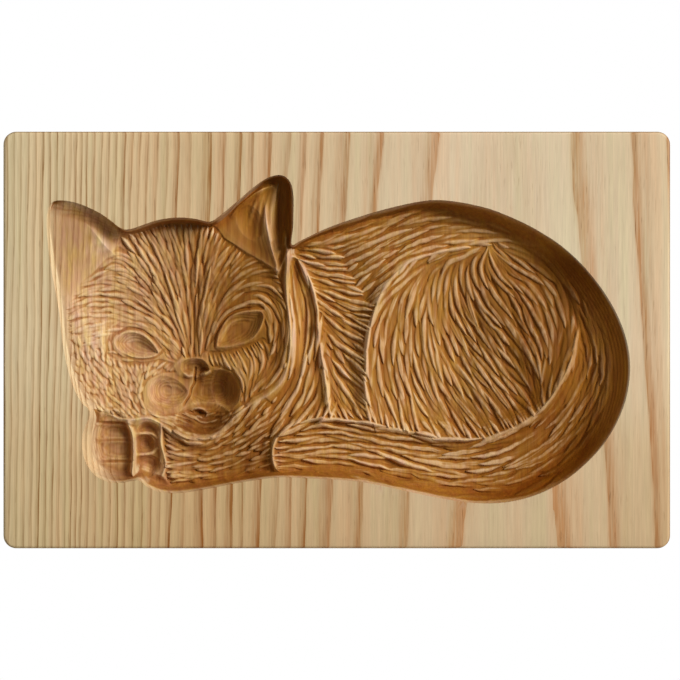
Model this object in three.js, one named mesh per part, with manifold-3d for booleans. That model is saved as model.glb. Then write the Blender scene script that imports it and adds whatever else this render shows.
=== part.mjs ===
// Wooden cookie mould: one ash plank with a curled-up sleeping cat cut into its face.
// Millimetres, +Z up out of the carved face. The plank lies on its back at z = 0, centred on x and y;
// +X is the long side, towards the cat's tail, and +Y the short side, towards its ears. The grain runs along Y.
import * as THREE from 'three';
import { mergeVertices } from 'three/addons/utils/BufferGeometryUtils.js';
import Module from 'manifold-3d';

// ---- driving dimensions ----
const LENGTH = 160;          // long side of the plank
const WIDTH = 100;           // short side, along the grain
const THICK = 20;            // plank thickness
const CORNER = 3.1;          // corner radius seen from above
const EDGE = 0.8;            // rounding of the long edges, face and back
const WALL_DROP = 6.4;       // depth that the curved wall of the carving reaches
const RIM_CUT = 0.8;         // the straight part of the wall under the rim
const SPREAD = 4.554;         // how far each stated depth spreads over its surroundings
const CELL = 1.55;            // cell of the relief grid

// ---- the carving: outline, broad depths, crests left between the hollows, rounded swells, small hollows ----
// The cat is cut in as its own negative, so the dough comes out with the nose and haunch standing highest.
// rim of the carving, clockwise from the left ear
const OUTLINE = [
  [-67.05, 33.44], [-64.42, 33.32], [-61.54, 32.6], [-58.66, 31.4], [-56.03, 29.96], [-53.87, 28.4], [-52.19, 27.09], [-50.52, 26.49],
  [-48.6, 26.85], [-46.2, 27.68], [-43.32, 28.64], [-39.97, 29.24], [-36.85, 29.36], [-33.74, 29], [-31.1, 28.4], [-29.66, 28.64],
  [-27.5, 30.2], [-25.35, 32], [-22.95, 34.04], [-20.31, 36.31], [-17.92, 38.11], [-15.76, 39.19], [-13.6, 39.55], [-11.92, 38.83],
  [-10.85, 37.15], [-10.37, 34.28], [-10.37, 30.68], [-10.49, 26.85], [-10.85, 23.97], [-10.61, 22.77], [-8.81, 23.73], [-5.93, 25.17],
  [-2.58, 26.73], [1.26, 28.16], [5.57, 29.6], [10.37, 31.04], [15.16, 32.24], [19.95, 33.2], [24.03, 33.56], [28.34, 33.2],
  [32.42, 32.48], [36.73, 31.4], [40.81, 29.84], [45.12, 27.92], [49.44, 25.53], [53.75, 22.65], [57.83, 19.06], [61.18, 15.34],
  [64.06, 11.51], [66.45, 7.55], [68.37, 3.36], [69.69, -0.96], [70.29, -5.27], [70.17, -9.59], [69.33, -14.14], [67.77, -18.46],
  [65.62, -22.53], [62.86, -26.37], [59.5, -29.84], [55.91, -32.84], [51.83, -35.35], [47.52, -37.27], [42.73, -38.59], [37.69, -39.19],
  [32.42, -39.07], [27.15, -38.35], [21.87, -37.39], [16.36, -36.19], [10.85, -35], [5.57, -34.04], [0.3, -33.56], [-4.97, -33.32],
  [-9.77, -33.08], [-13.6, -32.96], [-16.48, -33.2], [-19.83, -33.68], [-23.67, -34.28], [-27.98, -35.12], [-32.3, -35.95], [-36.13, -36.55],
  [-39.73, -36.79], [-42.85, -36.31], [-45.48, -35.12], [-47.4, -33.68], [-49.08, -33.8], [-51.71, -34.28], [-54.59, -34.04], [-57.23, -32.96],
  [-59.14, -31.04], [-60.46, -28.52], [-61.06, -25.65], [-60.94, -22.77], [-60.22, -20.37], [-59.38, -18.46], [-59.5, -16.66], [-60.94, -15.22],
  [-62.38, -12.94], [-63.58, -9.95], [-64.66, -6.23], [-65.5, -1.92], [-66.1, 2.4], [-66.57, 6.71], [-67.29, 11.03], [-68.13, 15.34],
  [-68.85, 19.65], [-69.33, 23.97], [-69.57, 27.8], [-69.33, 30.92], [-68.49, 32.72],
];
// [x, y] on the rim and how far in the wall of the carving takes to curve down to its floor there
const WALL_REACH = [
  [-68.49, 32.84, 2.2], [-64.42, 33.32, 1], [-59.14, 31.64, 0.9], [-53.87, 28.52, 1.3], [-50.52, 26.61, 2], [-36.85, 29.48, 2.2],
  [-29.66, 28.76, 1.2], [-23.19, 33.8, 1], [-17.92, 38.11, 1.3], [-13.6, 39.55, 2.4], [-10.49, 33.56, 3.8], [-10.73, 23.97, 2.2],
  [-6.89, 24.45, 3.4], [-2.58, 26.85, 4.6], [1.26, 28.28, 5], [8.45, 30.68, 5], [15.16, 32.36, 4.2], [28.34, 33.32, 3.8],
  [36.73, 31.4, 4.6], [45.12, 28.04, 6], [57.83, 19.18, 9], [64.06, 11.51, 10.8], [69.57, -0.96, 11.8], [70.29, -5.27, 12],
  [68.37, -16.78, 10], [65.5, -22.53, 8.4], [59.5, -29.72, 6.4], [51.83, -35.23, 4.8], [42.73, -38.59, 3.8], [32.42, -39.07, 3.3],
  [16.36, -36.19, 2.9], [0.3, -33.56, 2.6], [-13.6, -32.84, 2.4], [-27.98, -35, 2.8], [-39.73, -36.67, 3], [-47.4, -33.8, 2.2],
  [-54.59, -34.04, 2.4], [-60.58, -28.52, 3.2], [-60.34, -20.37, 2.8], [-59.62, -16.78, 1.8], [-62.5, -12.94, 2.4], [-65.38, -1.92, 3.2],
  [-66.57, 6.71, 3.4], [-68.25, 15.34, 3.2], [-69.45, 26.37, 2.8],
];
// [x, y, depth below the face]
const DEPTHS = [
  [-67.46, 30.38, 1.6], [-65.29, 24.11, 2.5], [-60.95, 26.04, 2.7], [-56.12, 24.11, 3.7], [-63.36, 16.88, 3], [-57.09, 17.36, 5.2],
  [-13.2, 36.65, 3.6], [-16.58, 33.76, 4.4], [-20.92, 31.83, 5], [-18.02, 27.49, 5], [-23.81, 27.49, 6.2], [-13.2, 27.73, 5.6],
  [-12.72, 20.5, 5.2], [-36.59, 26.04, 5], [-45.03, 22.91, 5.6], [-29.36, 22.91, 6], [-36.11, 18.08, 7.4], [-49.85, 18.81, 6],
  [-22.12, 18.81, 6.4], [-36.11, 9.65, 9], [-55.88, 9.65, 6], [-45.03, 9.65, 8.2], [-26.95, 9.65, 8], [-18.02, 9.65, 5.6],
  [-63.84, 4.82, 1.8], [-62.39, -3.62, 2.2], [-59.98, -11.57, 2.8], [-54.19, -9.65, 6.4], [-48.65, 0, 8.6], [-36.11, 1.21, 9.6],
  [-23.81, 2.41, 8], [-14.17, -2.41, 4.6], [-18.02, -2.41, 6], [-18.02, -10.37, 5], [-35.39, -9.16, 8.6], [-45.03, -15.67, 7],
  [-31.77, -19.29, 7.6], [-52.75, -16.4, 5.6], [-24.54, -15.67, 6.6], [-55.16, -24.11, 6], [-58.05, -31.35, 4.2], [-45.75, -26.52, 6.2],
  [-43.83, -33.76, 4.4], [-32.97, -27.01, 6.8], [-23.81, -25.32, 6.4], [-35.39, -33.28, 5], [-23.33, -31.35, 4.8], [-39, -26.52, 6.6],
  [-9.83, 14.47, 5.6], [-6.93, 2.41, 7.2], [-9.83, -7.23, 6.6], [-12.48, -15.67, 6.4], [-18.02, -20.5, 6], [-0.42, 9.65, 7.4],
  [3.68, 9.65, 6.4], [-0.42, -2.41, 7.6], [4.4, -2.41, 6.2], [-0.42, -13.26, 7.2], [-4.04, -14.47, 7], [-6.93, 23.15, 2.4],
  [-4.52, 25.08, 1.6], [-0.18, 27.01, 1.8], [4.64, 28.69, 2], [9.46, 30.14, 2.2], [14.29, 31.35, 2.8], [1.99, 23.15, 4.2],
  [8.5, 25.56, 4.4], [14.29, 27.49, 4.8], [24.9, 30.38, 5.2], [36.95, 27.73, 5.8], [47.8, 22.18, 5.8], [56.73, 14.47, 6],
  [1.99, 16.88, 6.8], [15.25, 22.91, 6.6], [27.31, 25.08, 7], [11.63, 9.65, 6.2], [10.43, -4.82, 6], [14.05, -15.67, 6.6],
  [18.15, 2.41, 8.2], [18.87, -8.44, 8.6], [27.31, 14.47, 8.6], [28.51, 1.21, 10], [24.9, -12.06, 9], [41.78, 4.82, 8],
  [39.36, -8.44, 8], [49.01, 9.65, 5.6], [51.9, -2.41, 5], [34.54, 18.81, 7.4], [44.19, 16.88, 6.8], [61.07, 7.23, 6],
  [61.07, -6.03, 6.4], [66.37, -4.82, 5.4], [59.62, -15.67, 6.6], [64.44, -16.88, 5.4], [52.63, -23.63, 6.7], [58.66, -26.52, 5.8],
  [42.98, -31.35, 6.8], [28.51, -30.86, 6.9], [14.05, -28.45, 6.8], [-0.42, -26.52, 6.6], [-10.79, -26.52, 5.6], [3.19, -22.91, 6.3],
  [22.49, -26.52, 6.6],
];
// crests left standing: height taken off the depth along the path, and how far each side of it falls away
const CRESTS = [
  { // head against paws, ruff and neck
    path: [
      [-12.24, 24.6], [-12, 18.81], [-12.24, 14.47], [-12, 9.65], [-11.39, 4.82], [-11.15, 0], [-11.51, -4.82],
      [-12.72, -8.92], [-14.65, -11.57], [-17.3, -13.74], [-20.44, -15.43], [-23.33, -17.24], [-25.74, -19.53], [-28.39, -21.94],
      [-31.29, -23.75], [-33.94, -24.23], [-37.07, -23.39], [-40.21, -21.7], [-43.1, -20.01], [-46, -18.93], [-49.37, -19.29],
      [-52.75, -19.05], [-56.12, -17.36], [-59.5, -16.4],
    ],
    height: [1.2, 1.7, 1.8, 1.8, 1.8, 1.8, 1.7, 1.7, 1.6, 1.6, 1.6, 1.6, 1.6, 1.6, 1.6, 1.6, 1.5, 1.4, 1.4, 1.4, 1.4, 1.4, 1.2, 1], left: 2.88, right: 4.07 },
  { // haunch, front and upper edge
    path: [
      [42.98, 24.6], [36.95, 23.39], [30.93, 22.43], [24.9, 21.22], [19.59, 19.77], [15.97, 17.6], [13.08, 14.71],
      [10.67, 11.09], [8.98, 6.75], [7.78, 1.21], [7.17, -4.34], [6.93, -9.65], [7.05, -14.47], [8.26, -18.57],
    ],
    height: [0.3, 0.5, 0.7, 0.9, 1.2, 1.6, 2, 2.2, 2.2, 2.2, 2.1, 2, 1.8, 1.2], left: 5.75, right: 4.31 },
  { // haunch against tail
    path: [
      [57.45, 5.3], [57.93, 1.93], [57.45, -1.69], [56.49, -5.06], [55.04, -8.44], [53.11, -11.82], [50.94, -14.95],
      [48.53, -17.36], [45.88, -19.41], [42.98, -21.1], [39.85, -22.43], [36.47, -23.51], [32.61, -24.11], [28.75, -23.99],
      [24.41, -23.39], [20.07, -22.55], [15.25, -21.58], [10.43, -20.62], [5.61, -19.77], [0.78, -19.17], [-3.56, -18.81],
    ],
    height: [0.5, 1, 1.3, 1.5, 1.7, 1.8, 1.9, 1.9, 1.9, 1.9, 1.8, 1.8, 1.8, 1.7, 1.7, 1.6, 1.6, 1.6, 1.6, 1.5, 1.4], left: 3.84, right: 4.31 },
  { // end of the tail
    path: [
      [-3.56, -18.81], [-6.93, -19.29], [-9.83, -20.26], [-12.72, -21.82], [-14.65, -23.87], [-15.49, -26.52], [-15.37, -29.18],
      [-14.41, -31.35], [-12.24, -32.55],
    ],
    height: [1.4, 1.6, 1.8, 2, 2.1, 2.1, 2.1, 2, 1.4], left: 3.6, right: 3.12 },
  { // lock of fur on the neck
    path: [
      [-8.86, -12.06], [-7.9, -6.03], [-5.97, -1.21], [-4.52, 3.62], [-4.76, 8.44], [-5.73, 12.54], [-7.41, 16.64],
      [-9.1, 19.29], [-10.79, 20.01], [-11.51, 17.84], [-11.27, 13.26], [-10.79, 8.44], [-10.55, 3.62], [-11.03, -1.21],
    ],
    height: [0.4, 0.8, 1, 1.3, 1.4, 1.4, 1.3, 1.2, 1.2, 1, 0.8, 0.6, 0.5, 0.3], left: 2.4, right: 2.16 },
  { // fold of the chest
    path: [
      [-4.52, 3.62], [-4.04, -1.21], [-3.32, -6.03], [-2.59, -10.85], [-2.11, -14.95], [-1.39, -18.08],
    ],
    height: [1.2, 1.3, 1.3, 1.2, 1.1, 0.9], left: 2.16, right: 2.64 },
  { // between the two paws
    path: [
      [-50.58, -20.26], [-49.73, -22.18], [-49.25, -24.6], [-49.13, -27.25], [-49.25, -29.66], [-49.37, -32.07], [-48.89, -33.76],
    ],
    height: [1.2, 1.5, 1.6, 1.6, 1.6, 1.6, 1.3], left: 1.32, right: 1.44 },
  { // second paw against the foreleg
    path: [
      [-42.38, -21.22], [-42.62, -23.15], [-42.5, -25.56], [-41.78, -27.97], [-41.41, -30.38], [-42.14, -32.79],
    ],
    height: [0.5, 0.8, 1, 1.2, 1.2, 0.8], left: 1.44, right: 1.68 },
  { // upper edge of the left ear
    path: [
      [-67.94, 33.76], [-64.8, 33.52], [-61.91, 32.79], [-59.02, 31.59], [-56.36, 30.14], [-54.19, 28.57], [-52.51, 27.25],
      [-51.3, 26.52],
    ],
    height: [1, 2, 2.3, 2.5, 2.8, 3, 3, 2.3], left: 3.84, right: 3.84 },
  { // fold inside the left ear
    path: [
      [-60.46, 27.97], [-58.53, 26.04], [-56.85, 23.87], [-55.16, 21.94], [-53.23, 20.26],
    ],
    height: [0.1, 0.4, 0.5, 0.4, 0.2], left: 2.16, right: 2.4 },
  { // forehead under the right ear
    path: [
      [-29.6, 27.97], [-27.67, 25.32], [-24.29, 22.91], [-20.92, 20.74], [-17.54, 18.81], [-14.65, 16.88],
    ],
    height: [0.1, 0.2, 0.3, 0.4, 0.5, 0.5], left: 2.88, right: 2.4 },
  { // inner edge of the right ear
    path: [
      [-10.79, 22.67], [-12.24, 20.26], [-13.44, 17.84], [-14.41, 15.43],
    ],
    height: [0.8, 0.9, 0.8, 0.4], left: 1.44, right: 1.44 },
  { // rolled edge of the right ear
    path: [
      [-25.26, 30.38], [-23.81, 32.19], [-21.88, 33.76], [-19.95, 35.21], [-17.78, 36.41], [-15.85, 37.13],
    ],
    height: [0.5, 1, 1.2, 1.2, 1, 0.5], left: 1.2, right: 1.44 },
  { // fold inside the right ear
    path: [
      [-17.54, 33.76], [-17.18, 30.86], [-16.82, 27.49], [-16.22, 24.11], [-15.37, 20.74], [-14.41, 17.84],
    ],
    height: [0.5, 1.2, 1.7, 1.8, 1.6, 0.9], left: 3.6, right: 4.55 },
];
// swells: [centre x, y, half axes a, b, turn in degrees, extra depth, roundness], cheeks to paws
const SWELLS = [
  [-55.88, -8.2, 11.98, 10.07, -25, 0.5, 1.5],
  [-20.44, -5.3, 9.59, 10.55, 20, 0.6, 1.5],
  [-49.85, 0.48, 9.59, 6.47, -16, -0.9, 1.6],
  [-23.81, 3.38, 9.59, 6.47, 30, -0.9, 1.6],
  [-35.63, 3.62, 3.6, 11.98, -2, 0.8, 1.4],
  [-34.9, -12.54, 12.94, 8.15, 0, 1.3, 1.1],
  [-32.25, -19.53, 6.95, 4.31, 0, 1.5, 0.9],
  [-26.95, -11.33, 3.84, 4.79, 0, 1.1, 1],
  [-42.86, -12.54, 2.64, 2.88, 0, 0.6, 1],
  [-13.44, 30.14, 1.68, 9.59, -2, 0.9, 1],
  [-13.2, 18.81, 1.2, 4.31, -8, 0.8, 1],
  [-20.92, 28.45, 3.12, 4.79, 28, 0.6, 1.2],
  [-53.95, -25.56, 5.03, 8.63, 3, 1.2, 0.7],
  [-46, -26.52, 3.36, 6.71, 2, 1, 0.8],
  [-44.07, -34.48, 3.12, 2.16, -15, 0.7, 1],
];
// hollows inside the relief: closed outline, extra depth, and how far in from the outline it rounds off
const POOLS = [
  { // left eye
    path: [
      [-53.83, -0.48], [-52.99, 0.72], [-51.54, 1.69], [-49.61, 1.93], [-47.44, 1.33], [-45.63, 0], [-44.31, -1.57],
      [-43.46, -3.26], [-44.79, -3.98], [-46.96, -4.29], [-49.37, -4.1], [-51.66, -3.26], [-53.23, -2.05],
    ],
    depth: 1.8, round: 2.88 },
  { // right eye
    path: [
      [-29, -1.45], [-28.75, 0.48], [-27.91, 2.89], [-26.46, 5.06], [-24.05, 6.39], [-20.92, 6.87], [-18.51, 6.87],
      [-17.78, 5.55], [-18.51, 3.13], [-19.95, 0.96], [-21.88, -0.36], [-24.29, -1.09], [-26.71, -1.57],
    ],
    depth: 2, round: 2.88 },
  { // nose
    path: [
      [-38.16, -6.75], [-37.92, -5.43], [-36.83, -4.7], [-35.14, -4.34], [-33.34, -4.58], [-32.01, -5.3], [-31.29, -6.63],
      [-31.77, -7.84], [-32.97, -8.56], [-34.9, -8.8], [-36.59, -8.44], [-37.68, -7.72],
    ],
    depth: 1.3, round: 1.92 },
  { // left pad of the muzzle
    path: [
      [-46, -12.54], [-45.63, -10.73], [-44.31, -9.28], [-42.38, -8.68], [-40.45, -9.04], [-38.76, -9.89], [-37.32, -11.09],
      [-36.35, -12.54], [-36.95, -14.35], [-38.28, -15.67], [-39.97, -16.64], [-42.02, -16.88], [-44.19, -16.04], [-45.51, -14.47],
    ],
    depth: 1.9, round: 4.07 },
  { // right pad of the muzzle
    path: [
      [-35.39, -11.82], [-34.66, -9.89], [-33.22, -8.68], [-31.05, -7.6], [-28.15, -7.23], [-25.74, -7.96], [-24.05, -9.89],
      [-23.33, -12.54], [-23.93, -14.95], [-25.5, -16.64], [-27.91, -17.6], [-30.56, -17.6], [-32.97, -16.88], [-34.66, -15.67],
      [-35.75, -13.74],
    ],
    depth: 3, round: 5.27 },
  { // left paw, joint 1
    path: [
      [-56.85, -17.36], [-55.4, -16.88], [-53.47, -17.12], [-51.78, -18.08], [-51.42, -19.41], [-52.99, -19.89], [-55.4, -19.89],
      [-56.85, -19.05],
    ],
    depth: 0.7, round: 1.92 },
  { // left paw, joint 2
    path: [
      [-58.29, -21.94], [-57.69, -20.62], [-56.12, -20.09], [-53.23, -20.06], [-50.58, -20.38], [-49.49, -21.34], [-49.25, -22.91],
      [-49.37, -24.11], [-53.47, -24.19], [-58.05, -24.11],
    ],
    depth: 0.9, round: 2.16 },
  { // left paw, joint 3
    path: [
      [-58.29, -24.6], [-53.47, -24.4], [-49.37, -24.43], [-49.25, -26.52], [-49.37, -28.69], [-50.58, -29.25], [-54.19, -29.3],
      [-57.57, -29.18], [-58.29, -27.01],
    ],
    depth: 0.9, round: 2.16 },
  { // left paw, joint 4
    path: [
      [-58.05, -29.66], [-54.19, -29.51], [-50.58, -29.49], [-49.37, -29.54], [-49.25, -31.35], [-50.1, -32.91], [-52.51, -33.76],
      [-55.4, -33.64], [-57.33, -32.67], [-57.93, -31.11],
    ],
    depth: 0.8, round: 2.16 },
  { // second paw, joint 1
    path: [
      [-48.41, -21.46], [-47.8, -20.26], [-46.24, -19.72], [-44.55, -20.01], [-43.22, -20.98], [-43.1, -22.18], [-44.55, -22.81],
      [-46.72, -22.81], [-48.05, -22.43],
    ],
    depth: 0.9, round: 1.68 },
  { // second paw, joint 2
    path: [
      [-49.37, -25.32], [-49.01, -23.87], [-47.8, -23.1], [-46, -23.03], [-44.67, -23.87], [-44.19, -25.32], [-44.67, -26.77],
      [-46.12, -27.37], [-47.92, -27.25], [-49.01, -26.65],
    ],
    depth: 1.9, round: 1.92 },
  { // second paw, joint 3
    path: [
      [-49.01, -29.66], [-48.41, -28.36], [-46.72, -27.92], [-44.79, -27.97], [-43.34, -28.65], [-42.62, -30.14], [-43.22, -31.83],
      [-44.79, -33.16], [-46.72, -33.4], [-48.29, -32.31], [-48.94, -30.86],
    ],
    depth: 1.6, round: 2.4 },
];

// ---- helpers ----
const catmull = (pts, closed, n) => {
  const out = [], m = pts.length, last = closed ? m : m - 1;
  const at = (i) => {
    if (closed) return pts[(i + m) % m];
    if (i < 0) return [2 * pts[0][0] - pts[1][0], 2 * pts[0][1] - pts[1][1]];
    if (i >= m) return [2 * pts[m - 1][0] - pts[m - 2][0], 2 * pts[m - 1][1] - pts[m - 2][1]];
    return pts[i];
  };
  for (let i = 0; i < last; i++) {
    const p0 = at(i - 1), p1 = at(i), p2 = at(i + 1), p3 = at(i + 2);
    for (let j = 0; j < n; j++) {
      const t = j / n, q = [];
      for (let k = 0; k < 2; k++) {
        q.push(0.5 * (2 * p1[k] + (p2[k] - p0[k]) * t + (2 * p0[k] - 5 * p1[k] + 4 * p2[k] - p3[k]) * t * t
          + (3 * p1[k] - p0[k] - 3 * p2[k] + p3[k]) * t * t * t));
      }
      out.push(q);
    }
  }
  if (!closed) out.push(pts[m - 1]);
  return out;
};

// nearest point of a path: distance, share of its length, and which side the point is on
const nearest = (path, lengths, x, y) => {
  let best = Infinity, share = 0, left = true;
  for (let i = 0; i + 1 < path.length; i++) {
    const [ax, ay] = path[i], dx = path[i + 1][0] - ax, dy = path[i + 1][1] - ay;
    const t = Math.min(1, Math.max(0, ((x - ax) * dx + (y - ay) * dy) / (dx * dx + dy * dy)));
    const d = Math.hypot(x - ax - t * dx, y - ay - t * dy);
    if (d < best) {
      best = d; left = dx * (y - ay) - dy * (x - ax) >= 0;
      share = (lengths[i] + t * (lengths[i + 1] - lengths[i])) / lengths[path.length - 1];
    }
  }
  return { d: best, share, left };
};
const runLengths = (path) => {
  const s = [0];
  for (let i = 1; i < path.length; i++) s.push(s[i - 1] + Math.hypot(path[i][0] - path[i - 1][0], path[i][1] - path[i - 1][1]));
  return s;
};
const smoothMin = (a, b, k) => {
  const h = Math.min(1, Math.max(0, 0.5 + 0.5 * (b - a) / k));
  return b + (a - b) * h - k * h * (1 - h);
};

const rim = catmull(OUTLINE, true, 2);
const rimClosed = [...rim, rim[0]];
const rimLengths = runLengths(rimClosed);
const reachKeys = WALL_REACH.map(([x, y, w]) => {
  let best = 0;
  for (let i = 1; i < rim.length; i++) {
    if (Math.hypot(rim[i][0] - x, rim[i][1] - y) < Math.hypot(rim[best][0] - x, rim[best][1] - y)) best = i;
  }
  return [rimLengths[best] / rimLengths[rimLengths.length - 1], w];
}).sort((a, b) => a[0] - b[0]);
const reachAt = (share) => {
  const n = reachKeys.length, keys = [[reachKeys[n - 1][0] - 1, reachKeys[n - 1][1]], ...reachKeys, [reachKeys[0][0] + 1, reachKeys[0][1]]];
  let i = 0;
  while (i < keys.length - 2 && keys[i + 1][0] < share) i++;
  return keys[i][1] + (keys[i + 1][1] - keys[i][1]) * (share - keys[i][0]) / (keys[i + 1][0] - keys[i][0]);
};
const insideOf = (loop, x, y) => {
  let inside = false;
  for (let i = 0, j = loop.length - 1; i < loop.length; j = i++) {
    const [xi, yi] = loop[i], [xj, yj] = loop[j];
    if ((yi > y) !== (yj > y) && x < (xj - xi) * (y - yi) / (yj - yi) + xi) inside = !inside;
  }
  return inside;
};
const crests = CRESTS.map((c) => {
  const path = catmull(c.path, false, 3);
  return { ...c, path, lengths: runLengths(path), keys: runLengths(c.path) };
});

const pools = POOLS.map((p) => {
  const loop = catmull(p.path, true, 4), closed = [...loop, loop[0]];
  return { ...p, loop, closed, lengths: runLengths(closed) };
});

// depth of the carving below the face at a point
const depthAt = (x, y) => {
  let num = 0, den = 0;
  for (const [px, py, h] of DEPTHS) {
    const w = Math.exp(-((x - px) ** 2 + (y - py) ** 2) / (2 * SPREAD * SPREAD)) + 1e-14;
    num += w * h; den += w;
  }
  let depth = num / den;
  for (const c of crests) {
    const { d, share, left } = nearest(c.path, c.lengths, x, y);
    const reach = left ? c.left : c.right;
    if (d >= reach) continue;
    const s = share * c.keys[c.keys.length - 1];
    let i = 0;
    while (i < c.keys.length - 2 && c.keys[i + 1] < s) i++;
    const f = Math.min(1, Math.max(0, (s - c.keys[i]) / (c.keys[i + 1] - c.keys[i])));
    depth -= (c.height[i] * (1 - f) + c.height[i + 1] * f) * (1 - d / reach) ** 1.8;
  }
  for (const [cx, cy, a, b, turn, h, round] of SWELLS) {
    const r = turn * Math.PI / 180, u = (x - cx) * Math.cos(r) + (y - cy) * Math.sin(r);
    const v = (y - cy) * Math.cos(r) - (x - cx) * Math.sin(r), q = 1 - (u / a) ** 2 - (v / b) ** 2;
    if (q > 0) depth += h * q ** round;
  }
  for (const p of pools) {
    if (!insideOf(p.loop, x, y)) continue;
    const t = Math.min(1, nearest(p.closed, p.lengths, x, y).d / p.round);
    depth += p.depth * (1 - (1 - t) ** 1.6);
  }
  const near = nearest(rimClosed, rimLengths, x, y), edge = near.d * (insideOf(rim, x, y) ? 1 : -1);
  const reach = Math.max(2.2, reachAt(near.share)), t = Math.min(1, Math.max(0, edge / reach));
  const bend = 2.2 + (1.35 - 2.2) * Math.min(1, Math.max(0, (reach - 3.5) / 7.5));
  if (edge < 0) return Math.max(-2.5, RIM_CUT + edge * WALL_DROP * bend / reach);
  const wall = RIM_CUT + (WALL_DROP - RIM_CUT) * (1 - (1 - t) ** bend) + Math.max(0, edge - reach) * 0.9;
  return smoothMin(depth, wall, 0.5);
};

// ---- solids ----
const wasm = await Module();
wasm.setup();
const toSolid = (geometry) => {
  const g = geometry.index ? geometry.clone() : geometry;
  for (const name of Object.keys(g.attributes)) if (name !== 'position') g.deleteAttribute(name);
  const merged = mergeVertices(g, 1e-4);
  const solid = new wasm.Manifold(new wasm.Mesh({
    numProp: 3,
    vertProperties: new Float32Array(merged.attributes.position.array),
    triVerts: new Uint32Array(merged.index.array),
  }));
  return solid;
};
const toGeometry = (solid) => {
  const m = solid.getMesh();
  const g = new THREE.BufferGeometry();
  g.setAttribute('position', new THREE.BufferAttribute(new Float32Array(m.vertProperties), 3));
  g.setIndex(new THREE.BufferAttribute(new Uint32Array(m.triVerts), 1));
  return g;
};

// plank: rounded rectangle with its face and back edges eased
const plankShape = () => {
  const x = LENGTH / 2 - EDGE, y = WIDTH / 2 - EDGE, r = CORNER - EDGE;
  const s = new THREE.Shape();
  s.moveTo(-x + r, -y);
  s.lineTo(x - r, -y); s.absarc(x - r, -y + r, r, -Math.PI / 2, 0, false);
  s.lineTo(x, y - r); s.absarc(x - r, y - r, r, 0, Math.PI / 2, false);
  s.lineTo(-x + r, y); s.absarc(-x + r, y - r, r, Math.PI / 2, Math.PI, false);
  s.lineTo(-x, -y + r); s.absarc(-x + r, -y + r, r, Math.PI, 1.5 * Math.PI, false);
  return s;
};
const plankGeometry = new THREE.ExtrudeGeometry(plankShape(), {
  depth: THICK - 2 * EDGE, steps: 1, curveSegments: 6,
  bevelEnabled: true, bevelThickness: EDGE, bevelSize: EDGE, bevelOffset: 0, bevelSegments: 4,
});
plankGeometry.translate(0, 0, EDGE);

// cutter: a block whose underside is the relief, kept only inside the outline of the cat
const xs = rim.map((p) => p[0]), ys = rim.map((p) => p[1]);
const x0 = Math.min(...xs) - 2, x1 = Math.max(...xs) + 2, y0 = Math.min(...ys) - 2, y1 = Math.max(...ys) + 2;
const block = new THREE.BoxGeometry(x1 - x0, y1 - y0, 10, Math.round((x1 - x0) / CELL), Math.round((y1 - y0) / CELL), 1);
block.translate((x0 + x1) / 2, (y0 + y1) / 2, 0);
const bp = block.attributes.position;
for (let i = 0; i < bp.count; i++) {
  bp.setZ(i, bp.getZ(i) < 0 ? THICK - depthAt(bp.getX(i), bp.getY(i)) : THICK + 3);
}
const outlineShape = new THREE.Shape(rim.map((p) => new THREE.Vector2(p[0], p[1])));
const prism = new THREE.ExtrudeGeometry(outlineShape, { depth: THICK - 3, steps: 1, bevelEnabled: false });
prism.translate(0, 0, 5);

const carved = toSolid(plankGeometry).subtract(toSolid(block).intersect(toSolid(prism)));

// ---- scene graph ----
const ash = new THREE.MeshStandardMaterial({ color: 0xd2b68a, roughness: 0.62, metalness: 0 });
const mould = new THREE.Group();
const board = new THREE.Mesh(toGeometry(carved), ash);
board.name = 'mould_board';
mould.add(board);

export default mould;
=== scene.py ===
"""Wooden cookie mould: an ash plank with a curled-up sleeping cat cut into its face as a negative."""
import math
import bpy
import numpy as np
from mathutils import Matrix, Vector
from mathutils.geometry import delaunay_2d_cdt


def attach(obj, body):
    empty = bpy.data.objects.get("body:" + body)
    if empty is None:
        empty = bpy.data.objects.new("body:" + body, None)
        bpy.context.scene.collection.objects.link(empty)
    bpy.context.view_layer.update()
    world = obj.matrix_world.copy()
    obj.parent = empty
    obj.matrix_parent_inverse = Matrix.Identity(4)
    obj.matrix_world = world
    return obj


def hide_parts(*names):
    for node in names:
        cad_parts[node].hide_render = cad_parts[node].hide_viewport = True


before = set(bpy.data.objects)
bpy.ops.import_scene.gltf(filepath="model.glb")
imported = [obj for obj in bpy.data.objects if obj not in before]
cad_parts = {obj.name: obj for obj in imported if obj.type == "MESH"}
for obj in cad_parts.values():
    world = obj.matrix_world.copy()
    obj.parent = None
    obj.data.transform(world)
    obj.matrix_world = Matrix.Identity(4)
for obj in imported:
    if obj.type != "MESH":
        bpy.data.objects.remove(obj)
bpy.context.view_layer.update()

# ---------------------------------------------------------------- camera, first
MM = 0.001
sc = bpy.context.scene
cam_d = bpy.data.cameras.new("camera")
cam = bpy.data.objects.new("camera", cam_d)
sc.collection.objects.link(cam)
cam_d.sensor_width = 36.0
CAM_Z = 0.560                                   # camera height over the carved face
cam_d.lens = 36.0*CAM_Z/(680/4.172*MM)          # 680 pixels span 163 mm at the face
cam.location = (( 340-336.75)/4.172*MM, (340-340)/4.172*MM, 0.020+CAM_Z)
cam.rotation_euler = (0, 0, 0)
sc.camera = cam

# ---------------------------------------------------------------------------------------------------------------
# The carving as a depth field. Points are in pixels of the 680 x 680 photograph; mm() puts them on the board.
# ---------------------------------------------------------------------------------------------------------------
PX = 4.172                    # pixels for each millimetre of the face
CX, CY = 336.75, 340.0        # the board's centre in the photograph
KI = 1.006                    # the floor of the carving lies deeper than the face, so it looks a little smaller
LENGTH, WIDTH, THICK = 160.0, 100.0, 20.0
CORNER, EDGE = 3.1, 0.8
H = 0.14                      # grid of the carved surface, mm

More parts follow.
